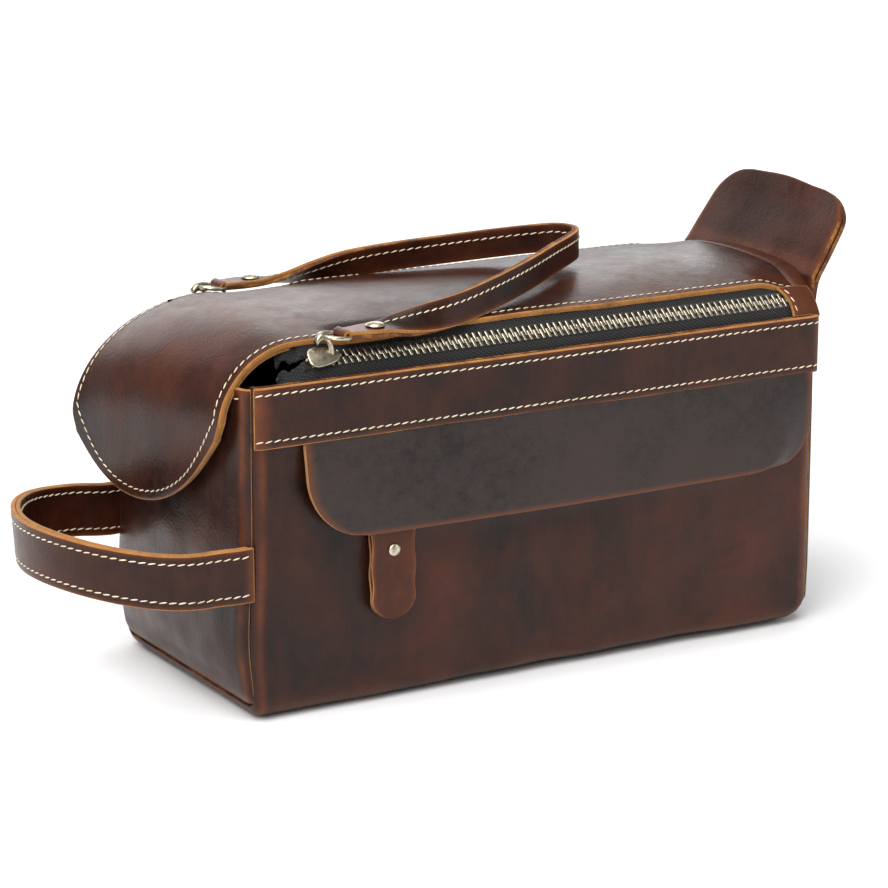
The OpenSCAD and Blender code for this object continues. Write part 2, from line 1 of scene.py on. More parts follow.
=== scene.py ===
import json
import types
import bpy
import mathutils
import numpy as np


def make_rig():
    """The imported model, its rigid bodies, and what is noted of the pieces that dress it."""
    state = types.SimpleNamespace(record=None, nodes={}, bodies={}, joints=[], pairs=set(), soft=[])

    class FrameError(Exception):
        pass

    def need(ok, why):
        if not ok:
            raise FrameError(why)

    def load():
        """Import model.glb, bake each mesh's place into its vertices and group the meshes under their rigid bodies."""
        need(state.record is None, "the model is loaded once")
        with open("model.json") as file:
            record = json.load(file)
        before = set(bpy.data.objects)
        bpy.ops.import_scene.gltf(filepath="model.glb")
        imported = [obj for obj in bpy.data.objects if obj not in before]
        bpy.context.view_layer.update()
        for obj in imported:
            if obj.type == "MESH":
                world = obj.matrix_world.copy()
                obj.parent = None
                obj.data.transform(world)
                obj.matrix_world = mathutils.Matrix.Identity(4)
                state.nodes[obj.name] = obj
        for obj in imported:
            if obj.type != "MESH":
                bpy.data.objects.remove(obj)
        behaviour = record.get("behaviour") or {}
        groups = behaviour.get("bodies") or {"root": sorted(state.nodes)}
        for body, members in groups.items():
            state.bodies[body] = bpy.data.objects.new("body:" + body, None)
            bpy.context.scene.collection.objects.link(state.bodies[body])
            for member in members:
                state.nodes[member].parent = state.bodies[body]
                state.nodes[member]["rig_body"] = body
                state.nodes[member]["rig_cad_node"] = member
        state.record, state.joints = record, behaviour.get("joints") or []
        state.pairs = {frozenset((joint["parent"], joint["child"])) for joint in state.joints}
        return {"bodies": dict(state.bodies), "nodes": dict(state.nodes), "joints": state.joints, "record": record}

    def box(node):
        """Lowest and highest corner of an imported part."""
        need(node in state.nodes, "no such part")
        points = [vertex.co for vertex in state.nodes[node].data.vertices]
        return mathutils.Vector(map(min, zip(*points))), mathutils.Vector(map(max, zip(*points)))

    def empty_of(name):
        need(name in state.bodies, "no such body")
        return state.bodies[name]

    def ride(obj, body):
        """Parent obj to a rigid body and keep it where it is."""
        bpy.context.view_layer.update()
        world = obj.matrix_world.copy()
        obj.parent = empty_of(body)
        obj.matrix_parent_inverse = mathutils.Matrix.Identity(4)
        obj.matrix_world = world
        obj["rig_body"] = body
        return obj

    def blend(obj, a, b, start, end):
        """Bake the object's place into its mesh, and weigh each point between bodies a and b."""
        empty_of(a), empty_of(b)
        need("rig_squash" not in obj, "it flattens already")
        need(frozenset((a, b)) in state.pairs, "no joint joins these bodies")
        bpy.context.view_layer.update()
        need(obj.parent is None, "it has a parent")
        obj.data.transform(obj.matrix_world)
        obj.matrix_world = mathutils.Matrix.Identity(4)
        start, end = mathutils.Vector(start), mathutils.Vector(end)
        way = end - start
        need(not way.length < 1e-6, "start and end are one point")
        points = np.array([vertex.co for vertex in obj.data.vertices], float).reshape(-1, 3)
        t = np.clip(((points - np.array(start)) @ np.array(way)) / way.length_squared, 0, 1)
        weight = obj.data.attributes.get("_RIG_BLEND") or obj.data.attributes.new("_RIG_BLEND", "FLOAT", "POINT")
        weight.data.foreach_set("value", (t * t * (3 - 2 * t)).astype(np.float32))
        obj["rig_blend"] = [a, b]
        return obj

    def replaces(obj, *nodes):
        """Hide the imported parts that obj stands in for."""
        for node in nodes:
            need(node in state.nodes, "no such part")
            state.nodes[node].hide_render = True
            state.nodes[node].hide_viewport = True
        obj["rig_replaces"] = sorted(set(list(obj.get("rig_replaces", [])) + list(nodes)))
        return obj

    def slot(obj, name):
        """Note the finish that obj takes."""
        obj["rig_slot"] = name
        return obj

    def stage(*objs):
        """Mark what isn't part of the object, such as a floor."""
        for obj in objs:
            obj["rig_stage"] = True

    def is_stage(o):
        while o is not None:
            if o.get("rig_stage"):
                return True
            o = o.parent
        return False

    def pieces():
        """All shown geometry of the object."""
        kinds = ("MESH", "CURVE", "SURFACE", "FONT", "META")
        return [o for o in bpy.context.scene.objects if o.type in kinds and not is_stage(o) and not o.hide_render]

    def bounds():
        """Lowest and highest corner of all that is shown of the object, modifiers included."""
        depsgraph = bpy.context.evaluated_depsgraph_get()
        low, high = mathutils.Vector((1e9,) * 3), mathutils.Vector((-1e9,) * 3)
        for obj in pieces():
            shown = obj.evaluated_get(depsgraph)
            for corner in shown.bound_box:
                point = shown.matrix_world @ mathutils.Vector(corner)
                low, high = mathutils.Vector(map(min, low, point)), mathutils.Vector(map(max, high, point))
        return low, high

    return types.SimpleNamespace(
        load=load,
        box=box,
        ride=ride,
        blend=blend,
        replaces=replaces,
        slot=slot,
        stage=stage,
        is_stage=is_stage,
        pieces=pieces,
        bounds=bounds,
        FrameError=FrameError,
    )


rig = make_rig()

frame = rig.load()

import json
import math

import bmesh
import bpy
from bpy.props import FloatProperty, FloatVectorProperty, PointerProperty
from bpy.types import Operator, Panel, PropertyGroup
from mathutils import Matrix, Vector, noise

bl_info = {
    "name": "Leather Wash Bag",
    "version": (1, 0, 0),
    "blender": (4, 5, 0),
    "location": "View3D > Sidebar > Wash Bag",
    "description": "Stitched leather wash bag with a zipped lid, carry loop, pull ear and flapped pocket",
    "category": "Object",
}

MM = 0.001
CAD_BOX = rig.bounds()


def box_mm(node):
    """A node's lowest and highest corners in millimetres."""
    low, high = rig.box(node)
    return Vector(low) / MM, Vector(high) / MM


# Places of the hard parts, so that leather and hardware line up with them.
PANEL_LOW, PANEL_HIGH = box_mm("front_panel")
HALF_L = PANEL_HIGH.x
HALF_D = -PANEL_LOW.y
RIM = PANEL_HIGH.z
BAND_LOW = box_mm("front_band")[0].z
CROWN = box_mm("lid_panel")[1].z
LID_RIGHT = box_mm("lid_panel")[1].x
SLIDER_LOW, SLIDER_HIGH = box_mm("front_slider_body")
SLIDER_X = (SLIDER_LOW.x + SLIDER_HIGH.x) / 2
RING_LOW, RING_HIGH = box_mm("front_ring")
SWING_Z = (RING_LOW.z + RING_HIGH.z) / 2
RING_Y = -(RING_LOW.y + RING_HIGH.y) / 2
TEETH_LOW, TEETH_HIGH = box_mm("front_body_zip_teeth")
POCKET_LOW, POCKET_HIGH = box_mm("pocket_zip_teeth")
POCKET_Z = (POCKET_LOW.z + POCKET_HIGH.z) / 2
FLAP_LOW, FLAP_HIGH = box_mm("pocket_flap")
TAB_LOW, TAB_HIGH = box_mm("pocket_pull_tab")
PULL_X = (TAB_LOW.x + TAB_HIGH.x) / 2

# Sizes that several pieces share, in millimetres.
SLOPE = math.radians(48)  # how steeply the zips lean
FOOT_Y, FOOT_Z = HALF_D - 2.6, RIM + 0.5  # where the zips' tapes leave the rim
CHAIN_S = 7.35  # from there up to the middle of the teeth
BOTTOM_R = 8.0  # rounding of the long bottom edges
SEAM_X = HALF_L - 2.4  # the corner seams
LID_HALF = 50.0  # half the lid's width
LID_ARCH = 4.5  # how far the lid's edges lie below its crown
EAR_HALF = 49.0  # half the ear's width
STRAP_Y = 53.6  # how far the strap's folded ends lie off the middle


class WashBagSizes(PropertyGroup):
    """Sizes of the stitching and the leather that can be changed by themselves."""

    leather: FloatProperty(name="Panel leather", description="Thickness of the body leather",
                           default=0.0022, min=0.001, max=0.004, subtype="DISTANCE", unit="LENGTH")
    lid_leather: FloatProperty(name="Lid leather", description="Thickness of the lid leather",
                               default=0.0024, min=0.001, max=0.004, subtype="DISTANCE", unit="LENGTH")
    stitch_pitch: FloatProperty(name="Stitch pitch", description="Distance from one stitch to the next",
                                default=0.0037, min=0.002, max=0.008, subtype="DISTANCE", unit="LENGTH")
    stitch_length: FloatProperty(name="Stitch length", description="Thread that shows in each stitch",
                                 default=0.0032, min=0.0015, max=0.007, subtype="DISTANCE", unit="LENGTH")
    thread: FloatProperty(name="Thread", description="Thickness of the thread",
                          default=0.00062, min=0.0004, max=0.002, subtype="DISTANCE", unit="LENGTH")
    loop_width: FloatProperty(name="Carry loop", description="Width of the carry loop's strap",
                              default=0.022, min=0.015, max=0.03, subtype="DISTANCE", unit="LENGTH")
    strap_width: FloatProperty(name="Pull strap", description="Width of the pull strap",
                               default=0.012, min=0.008, max=0.016, subtype="DISTANCE", unit="LENGTH")
    tooth_pitch: FloatProperty(name="Tooth pitch", description="Pitch of the teeth in one row of a lid zip",
                               default=0.0029, min=0.002, max=0.005, subtype="DISTANCE", unit="LENGTH")


class WashBagFinishes(PropertyGroup):
    """Colours of the leathers, the thread and the hardware."""

    dark: FloatVectorProperty(name="Dark leather", description="Darkest tone of the oiled leather",
                              subtype="COLOR", default=(0.0075, 0.0027, 0.0020), min=0, max=1)
    warm: FloatVectorProperty(name="Warm leather", description="Reddest tone of the oiled leather",
                              subtype="COLOR", default=(0.058, 0.0128, 0.0044), min=0, max=1)
    burnish: FloatVectorProperty(name="Burnish", description="Tone of the leather at folds and cut edges",
                                 subtype="COLOR", default=(0.165, 0.042, 0.011), min=0, max=1)
    raw: FloatVectorProperty(name="Raw edge", description="Tone of the uncoated cut edge",
                             subtype="COLOR", default=(0.42, 0.175, 0.032), min=0, max=1)
    thread: FloatVectorProperty(name="Thread", description="Tone of the waxed thread",
                                subtype="COLOR", default=(0.82, 0.70, 0.50), min=0, max=1)
    brass: FloatVectorProperty(name="Hardware", description="Tone of the antique brass",
                               subtype="COLOR", default=(0.56, 0.50, 0.38), min=0, max=1)


def sizes():
    """The scene's wash bag sizes."""
    return bpy.context.scene.wash_bag_sizes


def finishes():
    """The scene's wash bag colours."""
    return bpy.context.scene.wash_bag_finishes


# ---- small maths ---------------------------------------------------------------


def clamp(x, low=0.0, high=1.0):
    """x, kept between low and high."""
    return max(low, min(high, x))


def ease(a, b, x):
    """A smooth step from 0 at a to 1 at b."""
    t = clamp((x - a) / (b - a))
    return t * t * (3 - 2 * t)


def mix(a, b, t):
    """The value a share t of the way from a to b."""
    return a + (b - a) * t


def near(d, reach):
    """A soft hump: 1 where d is 0, falling away over about reach."""
    return math.exp(-(d / reach) ** 2)


def swell(x, y, z, size, seed):
    """Smooth random height from -1 to 1 that varies over about size millimetres."""
    return noise.noise(Vector((x, y, z)) / size + Vector((seed, seed * 1.7, -seed)))


def towards_ends(u, k=0.45):
    """Spreads 0..1 to -1..1 with more rows near both ends."""
    s = 2 * u - 1
    a = abs(s)
    return math.copysign(a * (1 - k) + k * (1 - (1 - a) ** 3), s)


def through(points):
    """A smooth curve through points of any dimension, as a function of 0..1."""
    pts = [tuple(p) for p in points]
    pts = [tuple(2 * a - b for a, b in zip(pts[0], pts[1]))] + pts
    pts.append(tuple(2 * a - b for a, b in zip(pts[-1], pts[-2])))
    spans = len(pts) - 3

    def at(t):
        t = t * spans
        i = int(clamp(math.floor(t), 0, spans - 1))
        t -= i
        p0, p1, p2, p3 = pts[i:i + 4]
        return tuple(0.5 * (2 * b + (c - a) * t + (2 * a - 5 * b + 4 * c - d) * t * t
                            + (3 * b - a - 3 * c + d) * t ** 3)
                     for a, b, c, d in zip(p0, p1, p2, p3))

    return at


def face_of(place, u, v):
    """Point and outward unit normal of a bent sheet."""
    e = 2e-3
    a, b = clamp(u, 2 * e, 1 - 2 * e), clamp(v, 2 * e, 1 - 2 * e)
    du = Vector(place(a + e, b)) - Vector(place(a - e, b))
    dv = Vector(place(a, b + e)) - Vector(place(a, b - e))
    return Vector(place(u, v)), du.cross(dv).normalized()


def sunk(place, depth, flip=1):
    """The same sheet, moved inwards by depth."""

    def at(u, v):
        p, n = face_of(place, u, v)
        return tuple(p - n * depth * flip)

    return at


# ---- making pieces ---------------------------------------------------------------


def as_object(name, bm, mats, smooth=True):
    """Turns a bmesh into an object at the origin, with its materials."""
    mesh = bpy.data.meshes.new(name)
    bm.to_mesh(mesh)
    bm.free()
    for m in mats:
        mesh.materials.append(m)
    if smooth:
        mesh.polygons.foreach_set("use_smooth", [True] * len(mesh.polygons))
    obj = bpy.data.objects.new(name, mesh)
    bpy.context.scene.collection.objects.link(obj)
    return obj


def leather_sheet(name, place, cols, rows, thick, skin, rim, burn, away, round_edge=0.5, cut=None):
    """A sheet of leather bent over place(u, v), with its cut rim showing; all in millimetres."""
    bm = bmesh.new()
    bmesh.ops.create_grid(bm, x_segments=cols, y_segments=rows, size=0.5)
    glow = bm.verts.layers.float.new("burnish")
    for v in bm.verts:
        u, w = v.co.x + 0.5, v.co.y + 0.5
        v.co = Vector(place(u, w)) * MM
        v[glow] = burn(u, w) if burn else 0.0
    if cut:
        cut(bm)
    bm.normal_update()
    if away is not None:
        middle = Vector(away) * MM
        facing = sum((f.calc_center_median() - middle).dot(f.normal) * f.calc_area() for f in bm.faces)
        if facing < 0:
            bmesh.ops.reverse_faces(bm, faces=bm.faces)
    obj = as_object(name, bm, [skin, rim])
    wall = obj.modifiers.new("leather", "SOLIDIFY")
    wall.thickness = thick * MM
    wall.offset = -1.0
    wall.use_even_offset = True
    wall.use_quality_normals = True
    wall.material_offset_rim = 1
    if round_edge:
        soft = obj.modifiers.new("soft edge", "BEVEL")
        soft.width = round_edge * MM
        soft.segments = 2
        soft.limit_method = "ANGLE"
        soft.angle_limit = math.radians(55)
        soft.use_clamp_overlap = True
        soft.material = 1
    return obj


STITCH_LIFT = 0.14
STITCH_SLANT = 0.20
STITCH_SAMPLES = 400


def stitch_row(name, at, body=None, pitch=None):
    """One row of stitches along at(t) -> (point, normal), as small beads of thread."""
    size = sizes()
    usual = size.stitch_pitch / MM
    pitch = pitch or usual
    long, wide = size.stitch_length / MM * pitch / usual, size.thread / MM
    pts = [at(i / STITCH_SAMPLES)[0] for i in range(STITCH_SAMPLES + 1)]
    run = [0.0]
    for a, b in zip(pts, pts[1:]):
        run.append(run[-1] + (b - a).length)
    count = max(1, int(run[-1] / pitch))
    bm = bmesh.new()
    j = 0
    for i in range(count):
        want = run[-1] * (i + 0.5) / count
        while run[j + 1] < want:
            j += 1
        t = (j + (want - run[j]) / max(run[j + 1] - run[j], 1e-9)) / STITCH_SAMPLES
        p, n = at(t)
        q = at(min(1, t + 1e-3))[0] - at(max(0, t - 1e-3))[0]
        along = (q - n * q.dot(n)).normalized()
        across = n.cross(along)
        jitter = 0.05 * noise.noise(p * 0.37)
        turned = (along + across * (STITCH_SLANT + jitter)).normalized()
        across = n.cross(turned)
        m = Matrix((turned * long / 2, across * wide / 2, n * wide * 0.42)).transposed().to_4x4()
        m = Matrix.Translation((p + n * STITCH_LIFT) * MM) @ Matrix.Scale(MM, 4) @ m
        bmesh.ops.create_uvsphere(bm, u_segments=8, v_segments=5, radius=1,
                                  matrix=m @ Matrix.Rotation(math.pi / 2, 4, "Y"))
    bmesh.ops.recalc_face_normals(bm, faces=bm.faces)
    obj = as_object(name, bm, [thread()])
    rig.slot(obj, "bag_leather")
    if body:
        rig.ride(obj, body)
    return obj


def along_sheet(place, path, flip=1):
    """Follows a sheet: path(t) gives its (u, v)."""

    def at(t):
        p, n = face_of(place, *path(t))
        return p, n * flip

    return at


def spun(name, outline, matrix, mats):
    """A turned piece: outline holds (radius, height) in millimetres, spun about local Z."""
    bm = bmesh.new()
    verts = [bm.verts.new((r * MM, 0, h * MM)) for r, h in outline]
    edges = [bm.edges.new(p) for p in zip(verts, verts[1:])]
    bmesh.ops.spin(bm, geom=verts + edges, cent=(0, 0, 0), axis=(0, 0, 1), angle=2 * math.pi,
                   steps=32, use_merge=True)
    bmesh.ops.remove_doubles(bm, verts=bm.verts, dist=1e-6)
    bmesh.ops.recalc_face_normals(bm, faces=bm.faces)
    bmesh.ops.transform(bm, matrix=matrix, verts=bm.verts)
    return as_object(name, bm, mats)


def ring(bm, radius, wire, axis, start=0.0, angle=2 * math.pi, steps=40, sides=12):
    """Adds a wire ring about the origin, or the part of one that spans angle from start."""
    axis = Vector(axis).normalized()
    side = axis.orthogonal().normalized()
    side.rotate(Matrix.Rotation(start, 3, axis))
    turn = Matrix((side, axis, side.cross(axis))).transposed().to_4x4()
    closed = angle >= 6.28
    made = bmesh.ops.create_circle(bm, segments=sides, radius=wire, cap_ends=not closed,
                                   matrix=Matrix.Translation(side * radius) @ turn)
    verts = made["verts"]
    edges = list({e for v in verts for e in v.link_edges})
    faces = list({f for v in verts for f in v.link_faces})
    bmesh.ops.spin(bm, geom=verts + edges + faces, cent=(0, 0, 0), axis=axis, angle=angle, steps=steps,
                   use_merge=closed)


def strip_frame(front, x, s, n):
    """Matrix from zip coordinates (along, up the slope, off the face), in metres."""
    sign = -1 if front else 1
    sx = Vector((1, 0, 0))
    ss = Vector((0, -sign * math.cos(SLOPE), math.sin(SLOPE)))
    sn = Vector((0, sign * math.sin(SLOPE), math.cos(SLOPE)))
    at = Vector((x, sign * FOOT_Y, FOOT_Z)) + ss * s + sn * n
    m = Matrix((sx, ss, sn)).transposed().to_4x4()
    return Matrix.Translation(at * MM) @ m


# ---- materials -------------------------------------------------------------------


class Nodes:
    """Short way to build a material's nodes; patterns sit on the object's own coordinates."""

    def __init__(self, name):
        self.mat = bpy.data.materials.new(name)
        self.mat.use_nodes = True
        self.tree = self.mat.node_tree
        self.shader = self.tree.nodes["Principled BSDF"]
        self.place = self.add("ShaderNodeTexCoord").outputs["Object"]

    def add(self, kind, **values):
        node = self.tree.nodes.new(kind)
        for key, value in values.items():
            if hasattr(node, key):
                setattr(node, key, value)
        return node

    def put(self, source, socket):
        self.tree.links.new(source, socket)

    def noise(self, scale, detail=4.0, rough=0.5, distort=0.0, stretch=None):
        node = self.add("ShaderNodeTexNoise")
        node.inputs["Scale"].default_value = scale
        node.inputs["Detail"].default_value = detail
        node.inputs["Roughness"].default_value = rough
        node.inputs["Distortion"].default_value = distort
        self.put(self.mapped(stretch) if stretch else self.place, node.inputs["Vector"])
        return node.outputs["Fac"]

    def mapped(self, stretch):
        node = self.add("ShaderNodeMapping")
        node.inputs["Scale"].default_value = stretch
        self.put(self.place, node.inputs["Vector"])
        return node.outputs["Vector"]

    def cells(self, scale):
        node = self.add("ShaderNodeTexVoronoi", feature="F1")
        node.inputs["Scale"].default_value = scale
        self.put(self.place, node.inputs["Vector"])
        return node.outputs["Distance"]

    def sums(self, *parts):
        """The sum of (source, weight) pairs."""
        total = None
        for source, weight in parts:
            node = self.add("ShaderNodeMath", operation="MULTIPLY_ADD")
            self.put(source, node.inputs[0])
            node.inputs[1].default_value = weight
            node.inputs[2].default_value = 0.0
            if total is not None:
                self.put(total, node.inputs[2])
            total = node.outputs[0]
        return total

    def math(self, operation, a, b=None, limit=False):
        node = self.add("ShaderNodeMath", operation=operation, use_clamp=limit)
        for i, value in enumerate((a, b)):
            if value is None:
                continue
            if isinstance(value, (int, float)):
                node.inputs[i].default_value = value
            else:
                self.put(value, node.inputs[i])
        return node.outputs[0]

    def ramp(self, source, stops):
        node = self.add("ShaderNodeValToRGB")
        self.put(source, node.inputs[0])
        band = node.color_ramp.elements
        while len(band) < len(stops):
            band.new(0.5)
        for element, (at, colour) in zip(band, stops):
            element.position = at
            element.color = (*colour[:3], 1)
        return node.outputs[0]

    def span(self, source, low, high, new_low, new_high):
        node = self.add("ShaderNodeMapRange")
        self.put(source, node.inputs[0])
        for i, value in enumerate((low, high, new_low, new_high)):
            node.inputs[i + 1].default_value = value
        return node.outputs[0]

    def blend(self, factor, a, b):
        node = self.add("ShaderNodeMix", data_type="RGBA", blend_type="MIX")
        for socket, value in ((0, factor), (6, a), (7, b)):
            if isinstance(value, (int, float)):
                node.inputs[socket].default_value = value
            elif isinstance(value, tuple):
                node.inputs[socket].default_value = (*value[:3], 1)
            else:
                self.put(value, node.inputs[socket])
        return node.outputs[2]

    def attribute(self, name):
        node = self.add("ShaderNodeAttribute")
        node.attribute_name = name
        return node.outputs["Fac"]

    def bump(self, height, strength, distance, under=None):
        node = self.add("ShaderNodeBump")
        node.inputs["Strength"].default_value = strength
        node.inputs["Distance"].default_value = distance
        self.put(height, node.inputs["Height"])
        if under is not None:
            self.put(under, node.inputs["Normal"])
        return node.outputs[0]

    def set(self, **values):
        """Sets the shader's sockets, named with _ for a space, and gives the material."""
        for key, value in values.items():
            socket = self.shader.inputs[key.replace("_", " ")]
            if isinstance(value, (int, float, tuple)):
                socket.default_value = value
            else:
                self.put(value, socket)
        return self.mat


MADE = {}


def finish_once(make):
    """Keeps one material for each maker and its arguments."""

    def get(*args):
        key = (make.__name__,) + args
        if key not in MADE:
            MADE[key] = make(*args)
        return MADE[key]

    return get


def tint(colour, k, shift=(1, 1, 1)):
    """A colour made k times as bright, with its channels shifted."""
    return tuple(c * k * s for c, s in zip(colour, shift))


def mix_colour(a, b, t):
    """The colour a share t of the way from a to b."""
    return tuple(mix(x, y, t) for x, y in zip(a, b))


@finish_once
def oiled_leather(name, red=0.0, grain=1.0, gloss=0.0):
    """Dark mahogany pull-up leather: mottled, finely grained, paler where it is folded."""
    f = finishes()
    dark, warm, glow = tuple(f.dark), tuple(f.warm), tuple(f.burnish)
    n = Nodes(name)
    clouds = n.noise(8, 5, 0.55, 0.8)
    blots = n.noise(30, 7, 0.62, 0.5)
    fleck = n.noise(150, 8, 0.7, 0.3)
    tone = n.sums((clouds, 0.52), (blots, 0.33), (fleck, 0.17))
    shade = n.ramp(tone, [(0.40 - red, dark), (0.49 - red, mix_colour(dark, warm, 0.32)),
                          (0.57 - red, mix_colour(dark, warm, 0.75)), (0.68 - red, tint(warm, 1.35))])
    streak = n.noise(60, 6, 0.7, 1.0, (1.0, 1.0, 0.35))
    shade = n.blend(n.span(streak, 0.42, 0.72, 0.0, 0.35), shade, tint(warm, 1.25))
    worn = n.math("MULTIPLY", n.attribute("burnish"), n.span(fleck, 0.3, 0.7, 0.55, 1.25), True)
    shade = n.blend(worn, shade, glow)
    pores = n.cells(760)
    pebble = n.noise(520, 3, 0.6)
    ridge = n.math("ABSOLUTE", n.math("SUBTRACT", n.noise(95, 6, 0.6, 0.9), 0.5))
    creases = n.math("MINIMUM", ridge, 0.05)
    fine = n.bump(n.sums((pores, 0.55), (pebble, 0.6)), 0.16 * grain, 0.0005)
    normal = n.bump(creases, 0.12 * grain, 0.0035, fine)
    rough = n.span(n.sums((blots, 0.5), (fleck, 0.5)), 0.35, 0.65, 0.30 - gloss, 0.47 - gloss)
    return n.set(Base_Color=shade, Roughness=rough, Normal=normal, Specular_IOR_Level=0.27)


@finish_once
def flap_leather():
    """Leather with a fine even pebble, greyer in tone: the grey is partly the leather's own colour and partly painted
    sheen.
    """
    f = finishes()
    # grey mixed into the base colour: partly the leather's own tone, partly painted sheen
    sheen_grey = mix_colour(tuple(f.dark), (0.036, 0.023, 0.019), 0.65)
    n = Nodes("pebbled_leather")
    clouds = n.noise(12, 5, 0.6, 0.5)
    fleck = n.noise(220, 8, 0.7)
    tone = n.sums((clouds, 0.6), (fleck, 0.4))
    shade = n.ramp(tone, [(0.36, tuple(f.dark)), (0.5, sheen_grey), (0.66, mix_colour(sheen_grey, tuple(f.warm), 0.35))])
    shade = n.blend(n.attribute("burnish"), shade, tuple(f.burnish))
    pores = n.cells(900)
    lumps = n.noise(380, 4, 0.6)
    normal = n.bump(n.sums((pores, 0.7), (lumps, 0.6)), 0.30, 0.0006)
    rough = n.span(fleck, 0.3, 0.7, 0.42, 0.58)
    return n.set(Base_Color=shade, Roughness=rough, Normal=normal, Specular_IOR_Level=0.42)


@finish_once
def raw_edge():
    """Cut edge and flesh side of the leather: ochre, fibrous and matt."""
    f = finishes()
    raw = tuple(f.raw)
    n = Nodes("raw_edge")
    fibre = n.noise(1100, 8, 0.75, 1.2)
    patch = n.noise(120, 5, 0.6)
    tone = n.sums((fibre, 0.55), (patch, 0.45))
    shade = n.ramp(tone, [(0.34, tint(raw, 0.30, (1.0, 0.8, 0.6))), (0.47, tint(raw, 0.75)),
                          (0.58, raw), (0.72, tint(raw, 1.35, (1, 1.05, 1.3)))])
    normal = n.bump(fibre, 0.7, 0.0006)
    return n.set(Base_Color=shade, Roughness=0.92, Normal=normal, Specular_IOR_Level=0.2,
                 Sheen_Weight=0.15, Sheen_Roughness=0.6)


@finish_once
def burnt_edge():
    """Edge rubbed dark orange-brown."""
    f = finishes()
    n = Nodes("rubbed_edge")
    fibre = n.noise(800, 6, 0.7, 0.8)
    patch = n.noise(90, 5, 0.6)
    glow = tuple(f.burnish)
    shade = n.ramp(n.sums((fibre, 0.4), (patch, 0.6)),
                   [(0.38, tint(glow, 0.22)), (0.5, tint(glow, 0.6)), (0.64, tint(tuple(f.raw), 0.9))])
    return n.set(Base_Color=shade, Roughness=0.62, Normal=n.bump(fibre, 0.4, 0.0005), Specular_IOR_Level=0.35)


@finish_once
def flesh_side():
    """Suede side seen inside the tongue."""
    f = finishes()
    n = Nodes("flesh_side")
    nap = n.noise(700, 8, 0.75, 0.8)
    patch = n.noise(40, 5, 0.6)
    base = mix_colour(tuple(f.burnish), tuple(f.warm), 0.55)
    shade = n.ramp(n.sums((nap, 0.5), (patch, 0.5)),
                   [(0.36, tint(base, 0.4)), (0.52, tint(base, 0.9)), (0.68, tint(base, 1.5))])
    return n.set(Base_Color=shade, Roughness=0.95, Normal=n.bump(nap, 0.6, 0.0006),
                 Specular_IOR_Level=0.15, Sheen_Weight=0.25, Sheen_Roughness=0.6)


@finish_once
def thread():
    """Waxed cream thread."""
    cream = tuple(finishes().thread)
    n = Nodes("waxed_thread")
    twist = n.noise(2600, 3, 0.6)
    dirt = n.noise(160, 5, 0.6)
    shade = n.ramp(n.sums((twist, 0.5), (dirt, 0.5)),
                   [(0.36, tint(cream, 0.50, (1, 0.9, 0.75))), (0.5, tint(cream, 0.9)),
                    (0.64, tint(cream, 1.1))])
    return n.set(Base_Color=shade, Roughness=0.6, Normal=n.bump(twist, 0.35, 0.0003), Specular_IOR_Level=0.4)


@finish_once
def antique_brass(name, bright):
    """Pale antique brass, darker in random cloudy patches."""
    brass = tint(tuple(finishes().brass), bright)
    n = Nodes(name)
    cloud = n.noise(320, 6, 0.65, 0.6)
    scuff = n.noise(2400, 4, 0.7, 0.0, (1, 1, 0.2))
    shade = n.ramp(cloud, [(0.34, tint(brass, 0.42)), (0.5, tint(brass, 0.9)), (0.66, tint(brass, 1.2))])
    rough = n.span(n.sums((cloud, 0.6), (scuff, 0.4)), 0.3, 0.7, 0.42, 0.20)
    return n.set(Base_Color=shade, Metallic=1.0, Roughness=rough, Normal=n.bump(scuff, 0.10, 0.0002))


@finish_once
def woven_tape():
    """Black herringbone zip tape."""
    n = Nodes("woven_tape")
    warp = n.add("ShaderNodeTexWave", wave_type="BANDS", bands_direction="X")
    warp.inputs["Scale"].default_value = 330
    weft = n.add("ShaderNodeTexWave", wave_type="BANDS", bands_direction="DIAGONAL")
    weft.inputs["Scale"].default_value = 260
    for w in (warp, weft):
        n.put(n.place, w.inputs["Vector"])
    weave = n.math("MULTIPLY", warp.outputs["Fac"], weft.outputs["Fac"])
    lint = n.noise(900, 5, 0.7)
    shade = n.ramp(n.sums((weave, 0.6), (lint, 0.4)),
                   [(0.15, (0.003, 0.003, 0.003)), (0.5, (0.012, 0.0115, 0.011)),
                    (0.85, (0.034, 0.032, 0.030))])
    return n.set(Base_Color=shade, Roughness=0.8, Normal=n.bump(weave, 0.5, 0.0004), Specular_IOR_Level=0.3,
                 Sheen_Weight=0.1, Sheen_Roughness=0.5)


@finish_once
def lining_cloth():
    """Black twill lining."""
    n = Nodes("lining_twill")
    twill = n.add("ShaderNodeTexWave", wave_type="BANDS", bands_direction="DIAGONAL")
    twill.inputs["Scale"].default_value = 420
    twill.inputs["Distortion"].default_value = 0.6
    n.put(n.place, twill.inputs["Vector"])
    folds = n.noise(35, 4, 0.5)
    shade = n.ramp(n.sums((twill.outputs["Fac"], 0.5), (folds, 0.5)),
                   [(0.25, (0.006, 0.0055, 0.005)), (0.75, (0.022, 0.019, 0.017))])
    normal = n.bump(folds, 0.4, 0.006, n.bump(twill.outputs["Fac"], 0.35, 0.0004))
    return n.set(Base_Color=shade, Roughness=0.85, Normal=normal, Specular_IOR_Level=0.25)


@finish_once
def pressed_board():
    """Grey-brown pressed fibre board."""
    n = Nodes("pressed_board")
    fibre = n.noise(500, 7, 0.7, 0.6)
    shade = n.ramp(fibre, [(0.35, (0.10, 0.075, 0.05)), (0.65, (0.26, 0.20, 0.14))])
    return n.set(Base_Color=shade, Roughness=0.9, Normal=n.bump(fibre, 0.4, 0.0005))


def dress(node, material, slot):
    """Gives a carried-over part its finish."""
    obj = frame["nodes"][node]
    obj.data.materials.clear()
    obj.data.materials.append(material)
    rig.slot(obj, slot)


# ---- shapes shared by several pieces ----------------------------------------------


